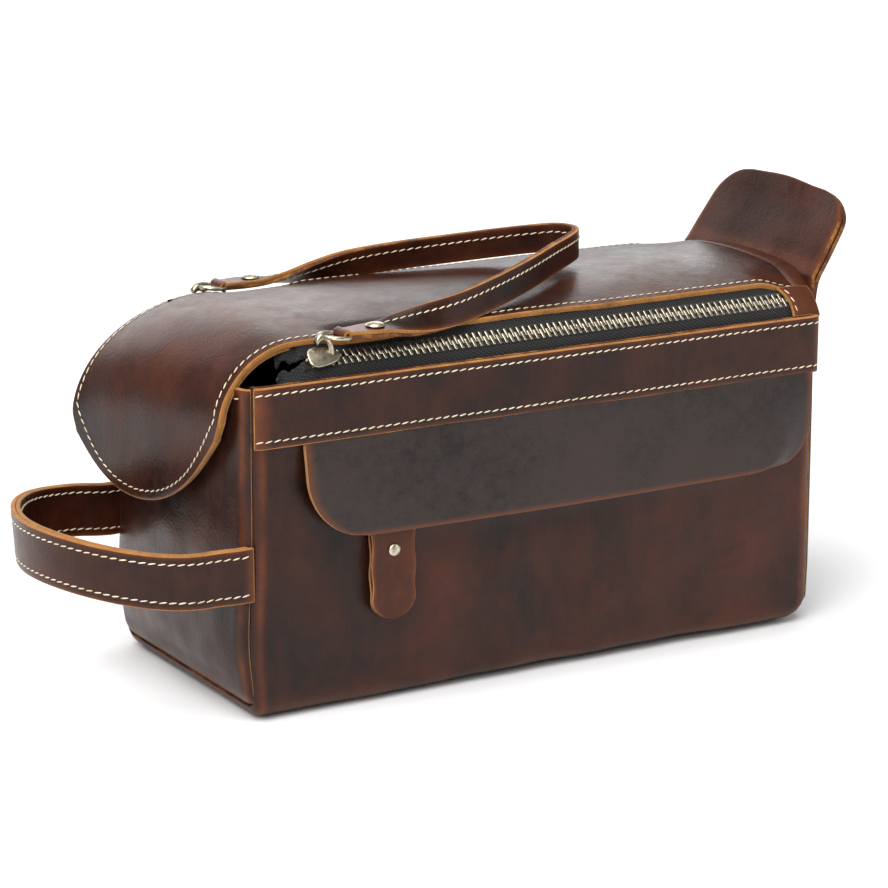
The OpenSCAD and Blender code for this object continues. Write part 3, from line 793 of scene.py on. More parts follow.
def wrap_section(d):
    """Point and outward normal of the body's end-on outline, d along it from the front rim."""
    down, quarter, flat = RIM - BOTTOM_R, BOTTOM_R * math.pi / 2, 2 * (HALF_D - BOTTOM_R)
    if d < down:
        return -HALF_D, RIM - d, -1.0, 0.0
    d -= down
    if d < quarter:
        c, e = math.cos(d / BOTTOM_R), math.sin(d / BOTTOM_R)
        return -HALF_D + BOTTOM_R * (1 - c), BOTTOM_R * (1 - e), -c, -e
    d -= quarter
    if d < flat:
        return -HALF_D + BOTTOM_R + d, 0.0, 0.0, -1.0
    d -= flat
    if d < quarter:
        c, e = math.cos(d / BOTTOM_R), math.sin(d / BOTTOM_R)
        return HALF_D - BOTTOM_R * (1 - e), BOTTOM_R * (1 - c), e, -c
    return HALF_D, BOTTOM_R + d - quarter, 1.0, 0.0


WRAP_LENGTH = 2 * (RIM - BOTTOM_R) + BOTTOM_R * math.pi + 2 * (HALF_D - BOTTOM_R)


def corner_lift(x, z):
    """How far the bottom corners ride up off the ground."""
    r = 11.0 if x > 0 else 5.0
    a = abs(x)
    a = min(a, SEAM_X) + 0.3 * max(0.0, a - SEAM_X)
    e = clamp((a - (SEAM_X + 1.5 - r)) / r, 0, 0.97)
    return r * (1 - math.sqrt(1 - e * e)) * max(0.0, 1 - z / 46) ** 2


def slump(x, z):
    """The left end spreads a little low down."""
    return 1 + 0.016 * near(z - 32, 25) * (x < 0) * ease(0, 100, abs(x))


def wrap_place(u, w):
    """The one sheet that makes the front, the base and the back."""
    x = towards_ends(u) * SEAM_X
    y, z, ny, nz = wrap_section(w * WRAP_LENGTH)
    t = clamp((abs(x) - (SEAM_X - 5.5)) / 5.5)
    tuck = 3.1 * (1 - math.sqrt(1 - 0.985 * t * t))
    calm = ease(104, 92, z) * (1 - 0.9 * ease(64, 74, z) * ease(96, 86, z) * (ny < 0))
    wave = 1.5 * swell(x, y, z, 62, 3.1) + 0.55 * swell(x, y, z, 21, 8.3)
    wave -= 1.1 * ease(1.0, 0.3, abs(x) / SEAM_X) * calm * (ny != 0)
    off = wave * calm * (1 - t) - tuck - 0.6
    y, z = y + ny * off, z + nz * off
    return x * slump(x, z), y, max(0.02, z) + corner_lift(x, z)


def wrap_burn(u, w):
    """Paler along the corner rolls and the bottom edges."""
    x = abs(towards_ends(u)) * SEAM_X
    y, z, _, _ = wrap_section(w * WRAP_LENGTH)
    roll = near(x - (SEAM_X - 3.4), 1.6) * (0.55 + 0.5 * swell(x, y, z, 14, 2.2))
    base = near(z - 4, 4.5) * 0.30 * (0.5 + swell(x, y, z, 18, 5.5))
    return clamp(roll + max(0, base))


def gusset_height(w):
    """Height on an end panel, with more rows near the bottom."""
    return RIM * (0.42 * w + 0.58 * w * w)


def gusset_place(side):
    """A bulged end panel whose edges roll into the corner seams."""

    def at(u, w):
        z = gusset_height(w) - 1.5 * w
        inner = HALF_D - 2.7
        r = BOTTOM_R - 1.0
        half = inner if z > r else inner - r + math.sqrt(max(0.0, r * r - (r - z) ** 2))
        y = towards_ends(u, 0.5) * half
        if z < r and abs(y) > inner - r:
            d = r - math.hypot(abs(y) - (inner - r), r - z)
        else:
            d = min(inner - abs(y), z)
        roll = 3.1 * math.sqrt(max(0.0, 1 - (1 - clamp(d / 6.5)) ** 2))
        sag = 0.75 + 0.35 * math.sin(math.pi * clamp(z / RIM))
        bulge = 5.2 * (1 - (y / HALF_D) ** 2) * ease(0, 26, z) * sag * (1 - 0.35 * ease(95, 134, z))
        wave = 1.2 * swell(y, z, side * 40, 34, 6.6) + 0.5 * swell(y, z, side * 40, 12, 1.9)
        wave *= ease(2, 16, d)
        x = side * (SEAM_X - 0.35 + roll + bulge + wave)
        return x * slump(x, z), y, z + 0.4 + corner_lift(side * x, z)

    return at


def gusset_burn(u, w):
    """Paler at the corner rolls, the hem and the foot."""
    z = gusset_height(w)
    edge = HALF_D - 2.6
    y = towards_ends(u, 0.5) * edge
    d = edge - abs(y)
    roll = near(d - 2.6, 1.5) * (0.45 + 0.5 * swell(y, z, 3, 12, 4.4))
    hem = near(RIM - z, 2.0) * 0.8
    return clamp(roll + hem + near(z, 3.0) * 0.4)


def band_place(side):
    """The reinforcing band under the rim."""

    def at(u, w):
        x = towards_ends(u) * (SEAM_X + 0.9) + 0.3
        z = mix(BAND_LOW - 0.1, RIM + 0.1, w)
        t = clamp((abs(x) - (SEAM_X - 4.4)) / 5.7)
        tuck = 3.4 * (1 - math.sqrt(1 - 0.97 * t * t)) * (1.0 if x < 0 else 0.6)
        y = HALF_D + 2.05 - tuck + 0.18 * swell(x, side * 50, z, 30, 7.7)
        z += 0.35 * swell(x, side * 50, 0, 70, 2.5)
        return x, side * y, z

    return at


def band_burn(u, w):
    """Paler at the ends and along both edges."""
    x = towards_ends(u) * SEAM_X
    ends = ease(SEAM_X - 9, SEAM_X - 1, -x) * 0.9 + ease(SEAM_X - 5, SEAM_X, x) * 0.5
    d = min(w, 1 - w) * (RIM - BAND_LOW)
    edge = near(d, 0.8) * 0.5
    return clamp(ends * (0.8 + 0.4 * swell(x, 0, w * 24, 9, 3.3)) + edge)


TONGUE_AT = (0.60, 0.86)


def lid_crown(y):
    """Height of the lid's arched top, y off the middle."""
    return CROWN - LID_ARCH * (y / LID_HALF) ** 2


def lid_place(u, w):
    """Lid and tongue in one sheet: flat run, turn over the left end, then the drop."""
    a, b = TONGUE_AT
    half = mix(LID_HALF, LID_HALF + 2, ease(a, b, u)) - 3.2 * ease(0.955, 1.0, u) ** 2
    y = (2 * w - 1) * half
    out = abs(y) / LID_HALF
    q = (y + LID_HALF) / (2 * LID_HALF)
    crown = lid_crown(y)
    start, across, fall = mix(-108, -98, q), mix(35, 60, q), mix(32, 48, q)
    along = mix(LID_RIGHT, start, u / a)
    pressed = 1.9 * ease(0.72, 0.98, out) * ease(-97, -86, along) * ease(-52, -70, along)
    if u < a:
        t = u / a
        x, z = mix(LID_RIGHT - 0.4, start, t), crown
        z -= 5.2 * ease(110, 131, x) * ease(0.60, 1.0, out) + pressed
        z -= 0.9 * ease(-40, -100, x) * (1 - out ** 2)
    else:
        z0 = crown - 0.9 * (1 - out ** 2)
        turn = math.pi / 2 * math.sqrt((across ** 2 + fall ** 2) / 2)
        drop = z0 - fall - (77.5 + (y - 7) ** 2 / 90)
        run = (u - a) / (1 - a) * (turn + max(-9.0, drop))
        ang = min(1.0, run / turn) * math.pi / 2
        x, z = start - across * math.sin(ang), z0 - fall + fall * math.cos(ang)
        down = max(0.0, run - turn)
        z -= down
        x += (4.5 * (1 - q) - 1.5 * q) * (down / 34) ** 2
    lift = 0.55 * swell(x, y, z, 48, 9.2) + 0.22 * swell(x, y, z, 17, 4.1)
    if u < a:
        z += lift * ease(LID_RIGHT, LID_RIGHT - 14, x)
    else:
        x -= lift * ease(a, b, u)
        z += lift * (1 - ease(a, b, u))
    return x, y, z


def lid_burn(u, w):
    """Paler along the edge, over the turn and at the tongue's tip."""
    y = abs(2 * w - 1) * LID_HALF
    x = lid_place(u, w)[0]
    edge = near(LID_HALF - y, 0.9) * 0.45
    turn = 0.16 * near(u - 0.70, 0.09) * (0.6 + swell(x, y, u * 90, 20, 6.1))
    tip = near((1 - u) * 230, 0.9) * 0.5
    return clamp(edge + max(0, turn) + tip)


LOOP_BEND_X = -150.0
LOOP_REACH = 51.0
LOOP_HALF = 58.6


def loop_centre(t):
    """Plan of the carry loop's middle line: two legs and a half round."""
    leg = 0.11
    if t < leg or t > 1 - leg:
        side, k = (-1, t / leg) if t < leg else (1, (1 - t) / leg)
        return mix(-SEAM_X - 0.2, LOOP_BEND_X, k), side * mix(LOOP_HALF + 1.3, LOOP_HALF, ease(0, 1, k))
    a = math.pi * ((t - leg) / (1 - 2 * leg) - 0.5)
    return LOOP_BEND_X - LOOP_REACH * math.cos(a), LOOP_HALF * math.sin(a)


def loop_place(t, w):
    """The carry loop's outer face, its upper edge leaning in a little."""
    x, y = loop_centre(t)
    rise = 59.6 + 0.4 * ease(-140, -131, x) + 5.6 * ease(-152, -206, x)
    rise += 1.6 * ease(0, 50, y) * ease(-138, -160, x)
    lean = 0.07 * math.cos(math.pi * (t - 0.5))
    half = sizes().loop_width / MM / 2
    v = (0.5 - w) * 2 * half
    e = 1e-3
    x2, y2 = loop_centre(clamp(t + e))
    x1, y1 = loop_centre(clamp(t - e))
    tx, ty = x2 - x1, y2 - y1
    k = math.hypot(tx, ty) or 1
    nx, ny = -ty / k, tx / k
    return x + nx * v * lean, y + ny * v * lean, rise + v + 0.3 * math.sin(t * 17)


FLAT_Z = SWING_Z - 1.0
STRAP_LINE = through([
    (-88.6, -53.6, FLAT_Z, 0), (-79, -53.5, FLAT_Z + 0.1, 2), (-70, -53.2, FLAT_Z + 0.2, 8),
    (-60, -52.6, FLAT_Z + 0.7, 30), (-48, -51.6, FLAT_Z + 1.8, 55), (-34, -49.6, FLAT_Z + 3.6, 72),
    (-14, -43.0, FLAT_Z + 6.8, 80), (8, -32.0, FLAT_Z + 9.8, 84), (27, -20.0, FLAT_Z + 12.2, 88),
    (41, -10.4, FLAT_Z + 13.4, 90), (49.3, -2.5, FLAT_Z + 13.8, 90), (52.0, 6.0, FLAT_Z + 13.9, 90),
    (48.8, 14.0, FLAT_Z + 13.6, 90), (41.0, 19.0, FLAT_Z + 12.8, 90), (29.0, 24.5, FLAT_Z + 11.6, 90),
    (10.0, 33.0, FLAT_Z + 9.4, 88), (-12, 41.5, FLAT_Z + 7.0, 82), (-32, 47.5, FLAT_Z + 4.6, 70),
    (-48, 50.6, FLAT_Z + 2.2, 46), (-60, 52.2, FLAT_Z + 0.8, 22), (-70, 53.0, FLAT_Z + 0.2, 6),
    (-79, 53.4, FLAT_Z + 0.1, 1), (-88.6, 53.6, FLAT_Z, 0)])


def strap_place(t, w):
    """The pull strap's outer face, flat at both ends and standing on edge between them."""
    t = clamp(t, -0.01, 1.01)
    x, y, z, turn = STRAP_LINE(t)
    e = 2e-3
    ax, ay, az, _ = STRAP_LINE(clamp(t + e, -0.01, 1.01))
    bx, by, bz, _ = STRAP_LINE(clamp(t - e, -0.01, 1.01))
    run = Vector((ax - bx, ay - by, az - bz)).normalized()
    side = Vector((0, 0, 1)).cross(run).normalized()
    a = math.radians(clamp(turn, 0, 90))
    up = run.cross(side)
    width = side * math.cos(a) + up * math.sin(a)
    face = run.cross(width)
    size = sizes().strap_width / MM * (1 - 0.22 * max(ease(0.05, 0.0, t), ease(0.95, 1.0, t)))
    return tuple(Vector((x, y, z)) + width * (w - 0.5) * size + face * 1.5)


EAR_FOLD = (143.9, 146.6)
EAR_LEAN = math.radians(59)
EAR_CORNER_R = 19.0
EAR_STEPS = (0.12, 0.3, 0.5, 0.7, 0.85, 1.0)


def ear_place(depth, root, length, half, seed):
    """One layer of the ear, depth behind the outer face; root holds its (x, z) points below the fold."""
    run = Vector((math.cos(EAR_LEAN), math.sin(EAR_LEAN)))
    foot = Vector(EAR_FOLD) + Vector((-run.y, run.x)) * depth
    line = through([Vector(p) for p in root] + [foot + run * k * length for k in EAR_STEPS])
    below = len(root) / (len(root) + len(EAR_STEPS) - 1)

    def at(u, w):
        t = below * (u / 0.34) if u < 0.34 else mix(below, 1.0, (u - 0.34) / 0.66)
        x, z = line(clamp(t, 0, 1))
        if depth == 0:
            x += 3.0 * (1 - ((2 * w - 1) * EAR_HALF / HALF_D) ** 2) * (1 - ease(0.02, 0.34, u))
        up = clamp((t - below) / (1 - below)) * length
        r = EAR_CORNER_R
        wide = half - 2.0 * ease(0, 0.3, u)
        if up > length - r:
            wide = half - 2.0 - r + math.sqrt(max(0.0, r * r - (up - (length - r)) ** 2))
        y = (2 * w - 1) * (wide - 2.5 * ease(0.3, 1, u)) - 2.0 * ease(0.2, 1, u)
        wavy = ease(10, length, up)
        z -= (2.0 if depth == 0 else 8.5) * ((y + 1) / EAR_HALF) ** 2 * clamp(1 - 1.7 * t / below)
        z += 1.6 * math.sin(math.pi * clamp((y + 49) / 110)) * wavy * ease(0, 1, wavy) - 0.6 * wavy
        z += wavy * (0.6 * math.sin(y / 14 + seed) + 0.25 * math.sin(y / 6.3 + seed * 2))
        x += wavy * 0.6 * math.sin(y / 17 + 1 + seed) + 0.4 * swell(x, y, z, 22, 5 + seed)
        return x, y, z

    return at


def flap_place(u, w):
    """The pocket flap, w from its lower edge to its top under the band."""
    x0, x1, top, low = FLAP_LOW.x, FLAP_HIGH.x, BAND_LOW + 0.6, FLAP_LOW.z - 0.6
    r_left, r_right = 25.0, 18.0
    up = w * (top - low)
    drop = (1 - w) * (top - low)
    if up < r_left:
        x0 += r_left - math.sqrt(max(0.0, r_left ** 2 - (r_left - up) ** 2))
    if up < r_right:
        x1 -= r_right - math.sqrt(max(0.0, r_right ** 2 - (r_right - up) ** 2))
    x = mix(x0, x1, u)
    stand = HALF_D + 1.9 + 5.7 * (drop / (top - low)) ** 0.80
    wave = 0.8 * swell(x, 0, drop, 50, 3.7) + 0.3 * swell(x, 0, drop, 18, 8.8)
    stand += max(-0.2, wave) * ease(0, 14, drop)
    stand -= 3.4 * ease(0.93, 1.0, u) * ease(4, 30, drop)
    z = top - drop - 1.0 * math.sin(math.pi * clamp(u)) * ease(20, 38, drop) - 0.4 + 0.8 * u
    return x, -stand, z


# ---- operators: one for each piece or group ---------------------------------------


class WASHBAG_OT_shell(Operator):
    """Build the wrap of front, base and back, and both end panels."""

    bl_idname = "washbag.shell"
    bl_label = "Body Shell"

    def execute(self, context):
        leather = oiled_leather("body_leather")
        ends = oiled_leather("end_leather", -0.02, 1.2, 0.03)
        slot_x = (POCKET_LOW.x - 1, POCKET_HIGH.x + 1)
        slot_z = (POCKET_Z - 4, POCKET_Z + 4)

        def pocket_slot(bm):
            for x in slot_x:
                bmesh.ops.bisect_plane(bm, geom=bm.verts[:] + bm.edges[:] + bm.faces[:],
                                       plane_co=(x * MM, 0, 0), plane_no=(1, 0, 0))
            for z in slot_z:
                front = [f for f in bm.faces if f.calc_center_median().y < -0.05]
                geom = front + list({e for f in front for e in f.edges})
                geom += list({v for f in front for v in f.verts})
                bmesh.ops.bisect_plane(bm, geom=geom, plane_co=(0, 0, z * MM), plane_no=(0, 0, 1))
            inside = [f for f in bm.faces
                      if f.calc_center_median().y < -0.05
                      and slot_x[0] < f.calc_center_median().x / MM < slot_x[1]
                      and slot_z[0] < f.calc_center_median().z / MM < slot_z[1]]
            bmesh.ops.delete(bm, geom=inside, context="FACES")

        wrap = leather_sheet("body_wrap", wrap_place, 150, 170, sizes().leather / MM, leather, burnt_edge(),
                             wrap_burn, (0, 0, 60), cut=pocket_slot)
        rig.ride(wrap, "bag")
        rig.slot(wrap, "bag_leather")
        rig.replaces(wrap, "front_panel", "back_panel", "bottom_panel")
        for side, name in ((-1, "left"), (1, "right")):
            place = gusset_place(side)
            end = leather_sheet(name + "_end", place, 90, 90, sizes().leather / MM, ends, raw_edge(),
                                gusset_burn, (0, 0, 60))
            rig.ride(end, "bag")
            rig.slot(end, "bag_leather")
            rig.replaces(end, name + "_end_panel")
            top = 1 - 4.0 / RIM / 1.58
            flip = -1 if side < 0 else 1
            row = along_sheet(place, lambda t: (mix(0.06, 0.94, t), top), flip)
            stitch_row(name + "_end_hem_stitches", row, "bag")
        return {"FINISHED"}


class WASHBAG_OT_bands(Operator):
    """Sew the reinforcing bands under the rim."""

    bl_idname = "washbag.bands"
    bl_label = "Rim Bands"

    def execute(self, context):
        leather = oiled_leather("band_leather", 0.0, 1.0, 0.04)
        for side, name in ((-1, "front"), (1, "back")):
            place = band_place(side)
            band = leather_sheet(name + "_rim_band", place, 150, 12, 2.0, leather, raw_edge(), band_burn,
                                 (0, 0, 122))
            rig.ride(band, "bag")
            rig.slot(band, "bag_leather")
            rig.replaces(band, name + "_band")
            for k, row in ((0.13, "low"), (0.885, "high")):
                flip = 1 if side < 0 else -1
                at = along_sheet(place, lambda t, k=k: (mix(0.002, 0.998, t), k), flip)
                stitch_row(name + "_band_%s_stitches" % row, at, "bag")
        return {"FINISHED"}


class WASHBAG_OT_lid(Operator):
    """Build the lid and its tongue over the left end."""

    bl_idname = "washbag.lid"
    bl_label = "Lid and Tongue"

    def execute(self, context):
        start, end = (-0.108, 0, 0.15), (-0.130, 0, 0.15)
        leather = oiled_leather("lid_leather", 0.012, 1.0, 0.05)
        thick = sizes().lid_leather / MM
        lid = leather_sheet("lid_and_tongue", lid_place, 170, 80, thick, leather, raw_edge(), lid_burn,
                            (0, 0, 100))
        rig.slot(lid, "bag_leather")
        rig.replaces(lid, "lid_panel", "lid_tongue")
        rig.blend(lid, "lid", "tongue", start, end)

        def under(u, w):
            return sunk(lid_place, thick + 0.05, -1)(mix(0.615, 0.998, u), mix(0.003, 0.997, w))

        flesh = leather_sheet("tongue_flesh", under, 70, 50, 1.2, flesh_side(), raw_edge(), None,
                              (-80, 0, 60))
        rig.slot(flesh, "raw_leather")
        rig.replaces(flesh, "tongue_lining")
        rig.blend(flesh, "lid", "tongue", start, end)

        def round_edge(t):
            inset = 3.6 / 104
            if t < 0.40:
                return mix(0.004, 0.94, t / 0.40), inset
            if t > 0.60:
                return mix(0.004, 0.94, (1 - t) / 0.40), 1 - inset
            w = (t - 0.40) / 0.20
            w = mix(inset, 1 - inset, 0.5 - 0.5 * math.cos(math.pi * w))
            return 0.94 + 0.0445 * (1 - abs((2 * w - 1) / (1 - 2 * inset)) ** 5), w

        row = stitch_row("lid_edge_stitches", along_sheet(lid_place, round_edge, -1))
        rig.blend(row, "lid", "tongue", start, end)
        return {"FINISHED"}


def metal_row(name, x0, x1, front, lid, body, shift, gap):
    """A row of clamped metal teeth along a lid zip, drawn back by gap(x) from its middle line."""
    pitch = sizes().tooth_pitch / MM
    bm = bmesh.new()
    sign = 1 if lid else -1
    base = 3.3
    for i in range(int((x1 - x0) / pitch)):
        x = x0 + pitch * (i + 0.5) + shift
        reach = 1.1 - gap(x)
        middle, long = (base - reach) / 2, base + reach
        local = strip_frame(front, x, CHAIN_S + sign * middle, 0)
        lean = Matrix.Rotation(0.16 * (1 if front else -1), 4, "Z")
        block = local @ Matrix.Scale(MM, 4) @ lean @ Matrix.Diagonal((1.32, long, 2.3, 1))
        made = bmesh.ops.create_cube(bm, size=1, matrix=block)
        edges = list({e for v in made["verts"] for e in v.link_edges})
        bmesh.ops.bevel(bm, geom=edges, offset=0.34 * MM, offset_type="OFFSET", segments=2, profile=0.5,
                        affect="EDGES", clamp_overlap=True, material=-1)
    bmesh.ops.recalc_face_normals(bm, faces=bm.faces)
    row = as_object(name.replace("_zip", "_metal"), bm, [antique_brass("tooth_brass", 0.9)])
    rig.ride(row, body)
    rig.slot(row, "brass_hardware")
    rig.replaces(row, name)
    return row


class WASHBAG_OT_zips(Operator):
    """Fit the lid zips' teeth, their end patches and their tapes."""

    bl_idname = "washbag.zips"
    bl_label = "Lid Zips"

    def execute(self, context):
        x0, x1 = TEETH_LOW.x, TEETH_HIGH.x

        def spread(x):
            return 1.5 * ease(SLIDER_X + 22, SLIDER_X + 6, x)

        half = sizes().tooth_pitch / MM / 2
        for front, name in ((True, "front"), (False, "rear")):
            metal_row(name + "_body_zip_teeth", x0, x1, front, False, "bag", 0.0, spread)
            metal_row(name + "_lid_zip_teeth", x0, x1, front, True, "lid", half, spread)
            self.tapes(front, name)
            for lid, body in ((False, "bag"), (True, "lid")):
                bm = bmesh.new()
                s = CHAIN_S + (3.0 if lid else -3.0)
                m = strip_frame(front, (x0 + x1) / 2, s, 0) @ Matrix.Rotation(math.pi / 2, 4, "Y")
                bmesh.ops.create_cone(bm, cap_ends=True, segments=10, radius1=1.0 * MM, radius2=1.0 * MM,
                                      depth=(x1 - x0 + 4) * MM, matrix=m)
                bmesh.ops.recalc_face_normals(bm, faces=bm.faces)
                cord = as_object("%s_%s_tape_cord" % (name, "lid" if lid else "body"), bm, [woven_tape()])
                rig.ride(cord, body)
                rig.slot(cord, "zip_tape")
        dress("zip_end_stops", antique_brass("stop_brass", 0.9), "brass_hardware")
        self.end_patches()
        return {"FINISHED"}

    def tapes(self, front, name):
        """Woven tapes; their left ends hang loose inside past the slider."""
        left, right = -116, 126
        side = -1 if front else 1
        hem = through([(58.2, 117.5), (58.2, 125), (58.1, 131), (57.7, 134.6), (55.4, 137.9), (53.3, 140.2)])
        upper = through([(46.2, 146.9), (48.4, 145.6), (50.8, 142.9), (52.6, 140.9)])
        for lid, line in ((False, hem), (True, upper)):
            def place(u, w, lid=lid, line=line):
                x = mix(left, right, u)
                y, z = line(w)
                loose = ease(-103, -115, x) * (w if not lid else ease(0, 0.5, w))
                y -= (2.5 if lid else 4.0) * loose
                z -= 5.0 * ease(108, 130, x) * (1 - 0.7 * w) * lid
                z -= 2.0 * ease(-99, -86, x) * ease(-49, -70, x) * (1 - w) * lid
                ripple = 1.5 * math.sin(x * 0.9 + w * 3) + 1.2 * math.sin(x * 1.7)
                z += loose * ((-1.5 if lid else -5.5) + ripple)
                return x, side * y, z

            part = "lid" if lid else "body"
            tape = leather_sheet("%s_%s_tape" % (name, part), place, 150, 10, 0.6, woven_tape(), woven_tape(),
                                 None, (0, side * 90, 190), 0)
            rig.ride(tape, "lid" if lid else "bag")
            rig.slot(tape, "zip_tape")
            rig.replaces(tape, "%s_%s_zip_tape" % (name, part))

    def end_patches(self):
        """The leather patches sewn over the right ends of the zips."""
        leather = oiled_leather("patch_leather", 0.03, 1.6, -0.08)
        made = None
        for front, name in ((True, "front"), (False, "rear")):
            def place(u, w, front=front):
                s = mix(-1.6, 13.4, w)
                left = 120.6 - 2.4 * w + 1.2 * math.sin(math.pi * w)
                x = mix(left, HALF_L + 1.2, u)
                n = 0.9 + 2.0 * math.sin(math.pi * clamp(0.1 + 0.8 * w)) - 1.6 * ease(0.45, 1, u)
                m = strip_frame(front, x, s, n + 0.2 * swell(x, s, 0, 6, 2.0))
                return tuple(m.translation / MM)

            side = -1 if front else 1
            patch = leather_sheet(name + "_zip_end_patch", place, 20, 14, 1.4, leather, raw_edge(),
                                  lambda u, w: 0.35 + 0.5 * near(u, 0.12),
                                  (125, side * 40, 130))
            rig.ride(patch, "bag")
            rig.slot(patch, "suede_leather")
            made = made or patch
            row = along_sheet(place, lambda t: (0.13, mix(0.10, 0.90, t)), 1 if front else -1)
            stitch_row(name + "_patch_stitches", row, "bag", pitch=3.2)
        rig.replaces(made, "zip_end_patches")


class WASHBAG_OT_sliders(Operator):
    """Build both lid zip sliders and the rings of the pull strap."""

    bl_idname = "washbag.sliders"
    bl_label = "Sliders and Rings"

    def execute(self, context):
        for front, name in ((True, "front"), (False, "rear")):
            self.slider(front, name)
            self.ring(front, name)
        return {"FINISHED"}

    def slider(self, front, name):
        """Two rounded plates, the divider between them and the arch that holds the ring."""
        bm = bmesh.new()
        half_long, half_wide, taper = 7.0, 5.3, 0.17
        for low, high in ((1.6, 3.2), (-2.9, -1.6)):
            made = bmesh.ops.create_circle(bm, cap_ends=True, segments=28, radius=1.0)
            for v in made["verts"]:
                x = math.copysign(abs(v.co.x) ** 0.75, v.co.x) * half_long
                s = math.copysign(abs(v.co.y) ** 0.75, v.co.y) * (half_wide - taper * (x + half_long))
                v.co = Vector((x, s, low))
            face = list({f for v in made["verts"] for f in v.link_faces})
            up = bmesh.ops.extrude_face_region(bm, geom=face)
            top = [g for g in up["geom"] if isinstance(g, bmesh.types.BMVert)]
            bmesh.ops.translate(bm, verts=top, vec=(0, 0, high - low))
            whole = set(top) | set(made["verts"])
            edges = [e for e in bm.edges if e.verts[0] in whole and e.verts[1] in whole
                     and abs(e.verts[0].co.z - e.verts[1].co.z) < 1e-6]
            bmesh.ops.bevel(bm, geom=edges, offset=0.6, offset_type="OFFSET", segments=3, profile=0.5,
                            affect="EDGES", clamp_overlap=True, material=-1)
        divider = Matrix.Translation((-5.6, 0, 0)) @ Matrix.Diagonal((3.6, 0.72, 4.6, 1))
        bmesh.ops.create_cube(bm, size=1, matrix=divider)
        bmesh.ops.transform(bm, matrix=strip_frame(front, SLIDER_X, CHAIN_S, 0) @ Matrix.Scale(MM, 4),
                            verts=bm.verts)
        plates = set(bm.verts)
        arch_r, wire_r = 4.0, 0.95
        ring(bm, arch_r, wire_r, (0, 1, 0), start=-math.pi / 2, angle=math.pi, steps=20, sides=10)
        foot_z = FOOT_Z + CHAIN_S * math.sin(SLOPE) + 2.0
        rise = (SWING_Z + 0.9 - foot_z) / (arch_r + wire_r)
        y = (-1 if front else 1) * (RING_Y + 0.3)
        for v in bm.verts:
            if v not in plates:
                v.co = Vector((SLIDER_X + v.co.x, y + v.co.y * 1.7, foot_z + v.co.z * rise)) * MM
        bmesh.ops.recalc_face_normals(bm, faces=bm.faces)
        obj = as_object(name + "_zip_slider", bm, [antique_brass("slider_brass", 0.85)])
        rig.ride(obj, name + "_slider")
        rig.slot(obj, "brass_hardware")
        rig.replaces(obj, name + "_slider_body")

    def ring(self, front, name):
        """The wire ring that joins a slider to the strap, tilted a little."""
        bm = bmesh.new()
        side = -1 if front else 1
        ring(bm, 6.2 * MM, 0.85 * MM, (0, 0, 1), steps=56, sides=14)
        move = Matrix.Translation(((SLIDER_X + 6.0) * MM, side * RING_Y * MM, (SWING_Z - 1.2) * MM))
        move = move @ Matrix.Rotation(0.10, 4, "Y")
        bmesh.ops.transform(bm, matrix=move, verts=bm.verts)
        bmesh.ops.recalc_face_normals(bm, faces=bm.faces)
        obj = as_object(name + "_wire_ring", bm, [antique_brass("ring_brass", 1.15)])
        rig.ride(obj, "strap")
        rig.slot(obj, "brass_hardware")
        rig.replaces(obj, name + "_ring")


# A domed rivet head as (radius, height) from its crown to its foot.
RIVET = [(0.0, 1.3), (1.2, 1.25), (2.4, 1.05), (3.4, 0.65), (3.9, 0.22), (4.0, 0.0), (3.6, -0.3), (1.6, -0.5),
         (0.0, -0.5)]


class WASHBAG_OT_strap(Operator):
    """Build the pull strap between the two sliders."""

    bl_idname = "washbag.strap"
    bl_label = "Pull Strap"

    def execute(self, context):
        leather = oiled_leather("strap_leather", 0.01, 0.9, 0.04)

        def burn(u, w):
            d = min(w, 1 - w) * 12
            ends = max(ease(0.10, 0.0, u), ease(0.90, 1.0, u))
            return clamp(near(d, 1.1) * (0.9 if w < 0.5 else 0.45) + 0.6 * ends)

        back = sunk(strap_place, 1.52)
        outer = leather_sheet("strap_outer", strap_place, 220, 8, 1.5, leather, raw_edge(), burn, None, 0.3)
        inner = leather_sheet("strap_inner", back, 220, 8, 1.5, leather, burnt_edge(), burn, None, 0.3)
        for obj in (outer, inner):
            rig.ride(obj, "strap")
            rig.slot(obj, "bag_leather")
        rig.replaces(outer, "pull_strap")
        for front in (True, False):
            y = -STRAP_Y if front else STRAP_Y

            def fold(u, w, y=y):
                """The turned end that holds the ring."""
                a = math.pi * (0.5 + u)
                return -88.4 + 2.7 * math.cos(a), y + (w - 0.5) * 9.4, FLAT_Z + 2.3 * math.sin(a)

            cap = leather_sheet("strap_fold_%s" % ("front" if front else "rear"), fold, 14, 8, 1.1, leather,
                                raw_edge(), lambda u, w: 0.5, (-80, y, FLAT_Z), 0.2)
            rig.ride(cap, "strap")
            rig.slot(cap, "bag_leather")
        for row, place, flip in (("outer", strap_place, 1), ("inner", sunk(strap_place, 3.02), -1)):
            at = along_sheet(place, lambda t: (mix(0.075, 0.925, t), 0.70), flip)
            stitch_row("strap_%s_stitches" % row, at, "strap", pitch=3.5)
        low, high = box_mm("strap_rivets")
        for side in (-1, 1):
            at = Matrix.Translation(Vector((low.x / 2 + high.x / 2, side * 53.4, FLAT_Z + 2.0)) * MM)
            head = spun("strap_rivet_%s" % ("front" if side < 0 else "rear"), RIVET, at,
                        [antique_brass("rivet_brass", 1.25)])
            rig.ride(head, "strap")
            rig.slot(head, "brass_hardware")
            if side < 0:
                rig.replaces(head, "strap_rivets")
        return {"FINISHED"}


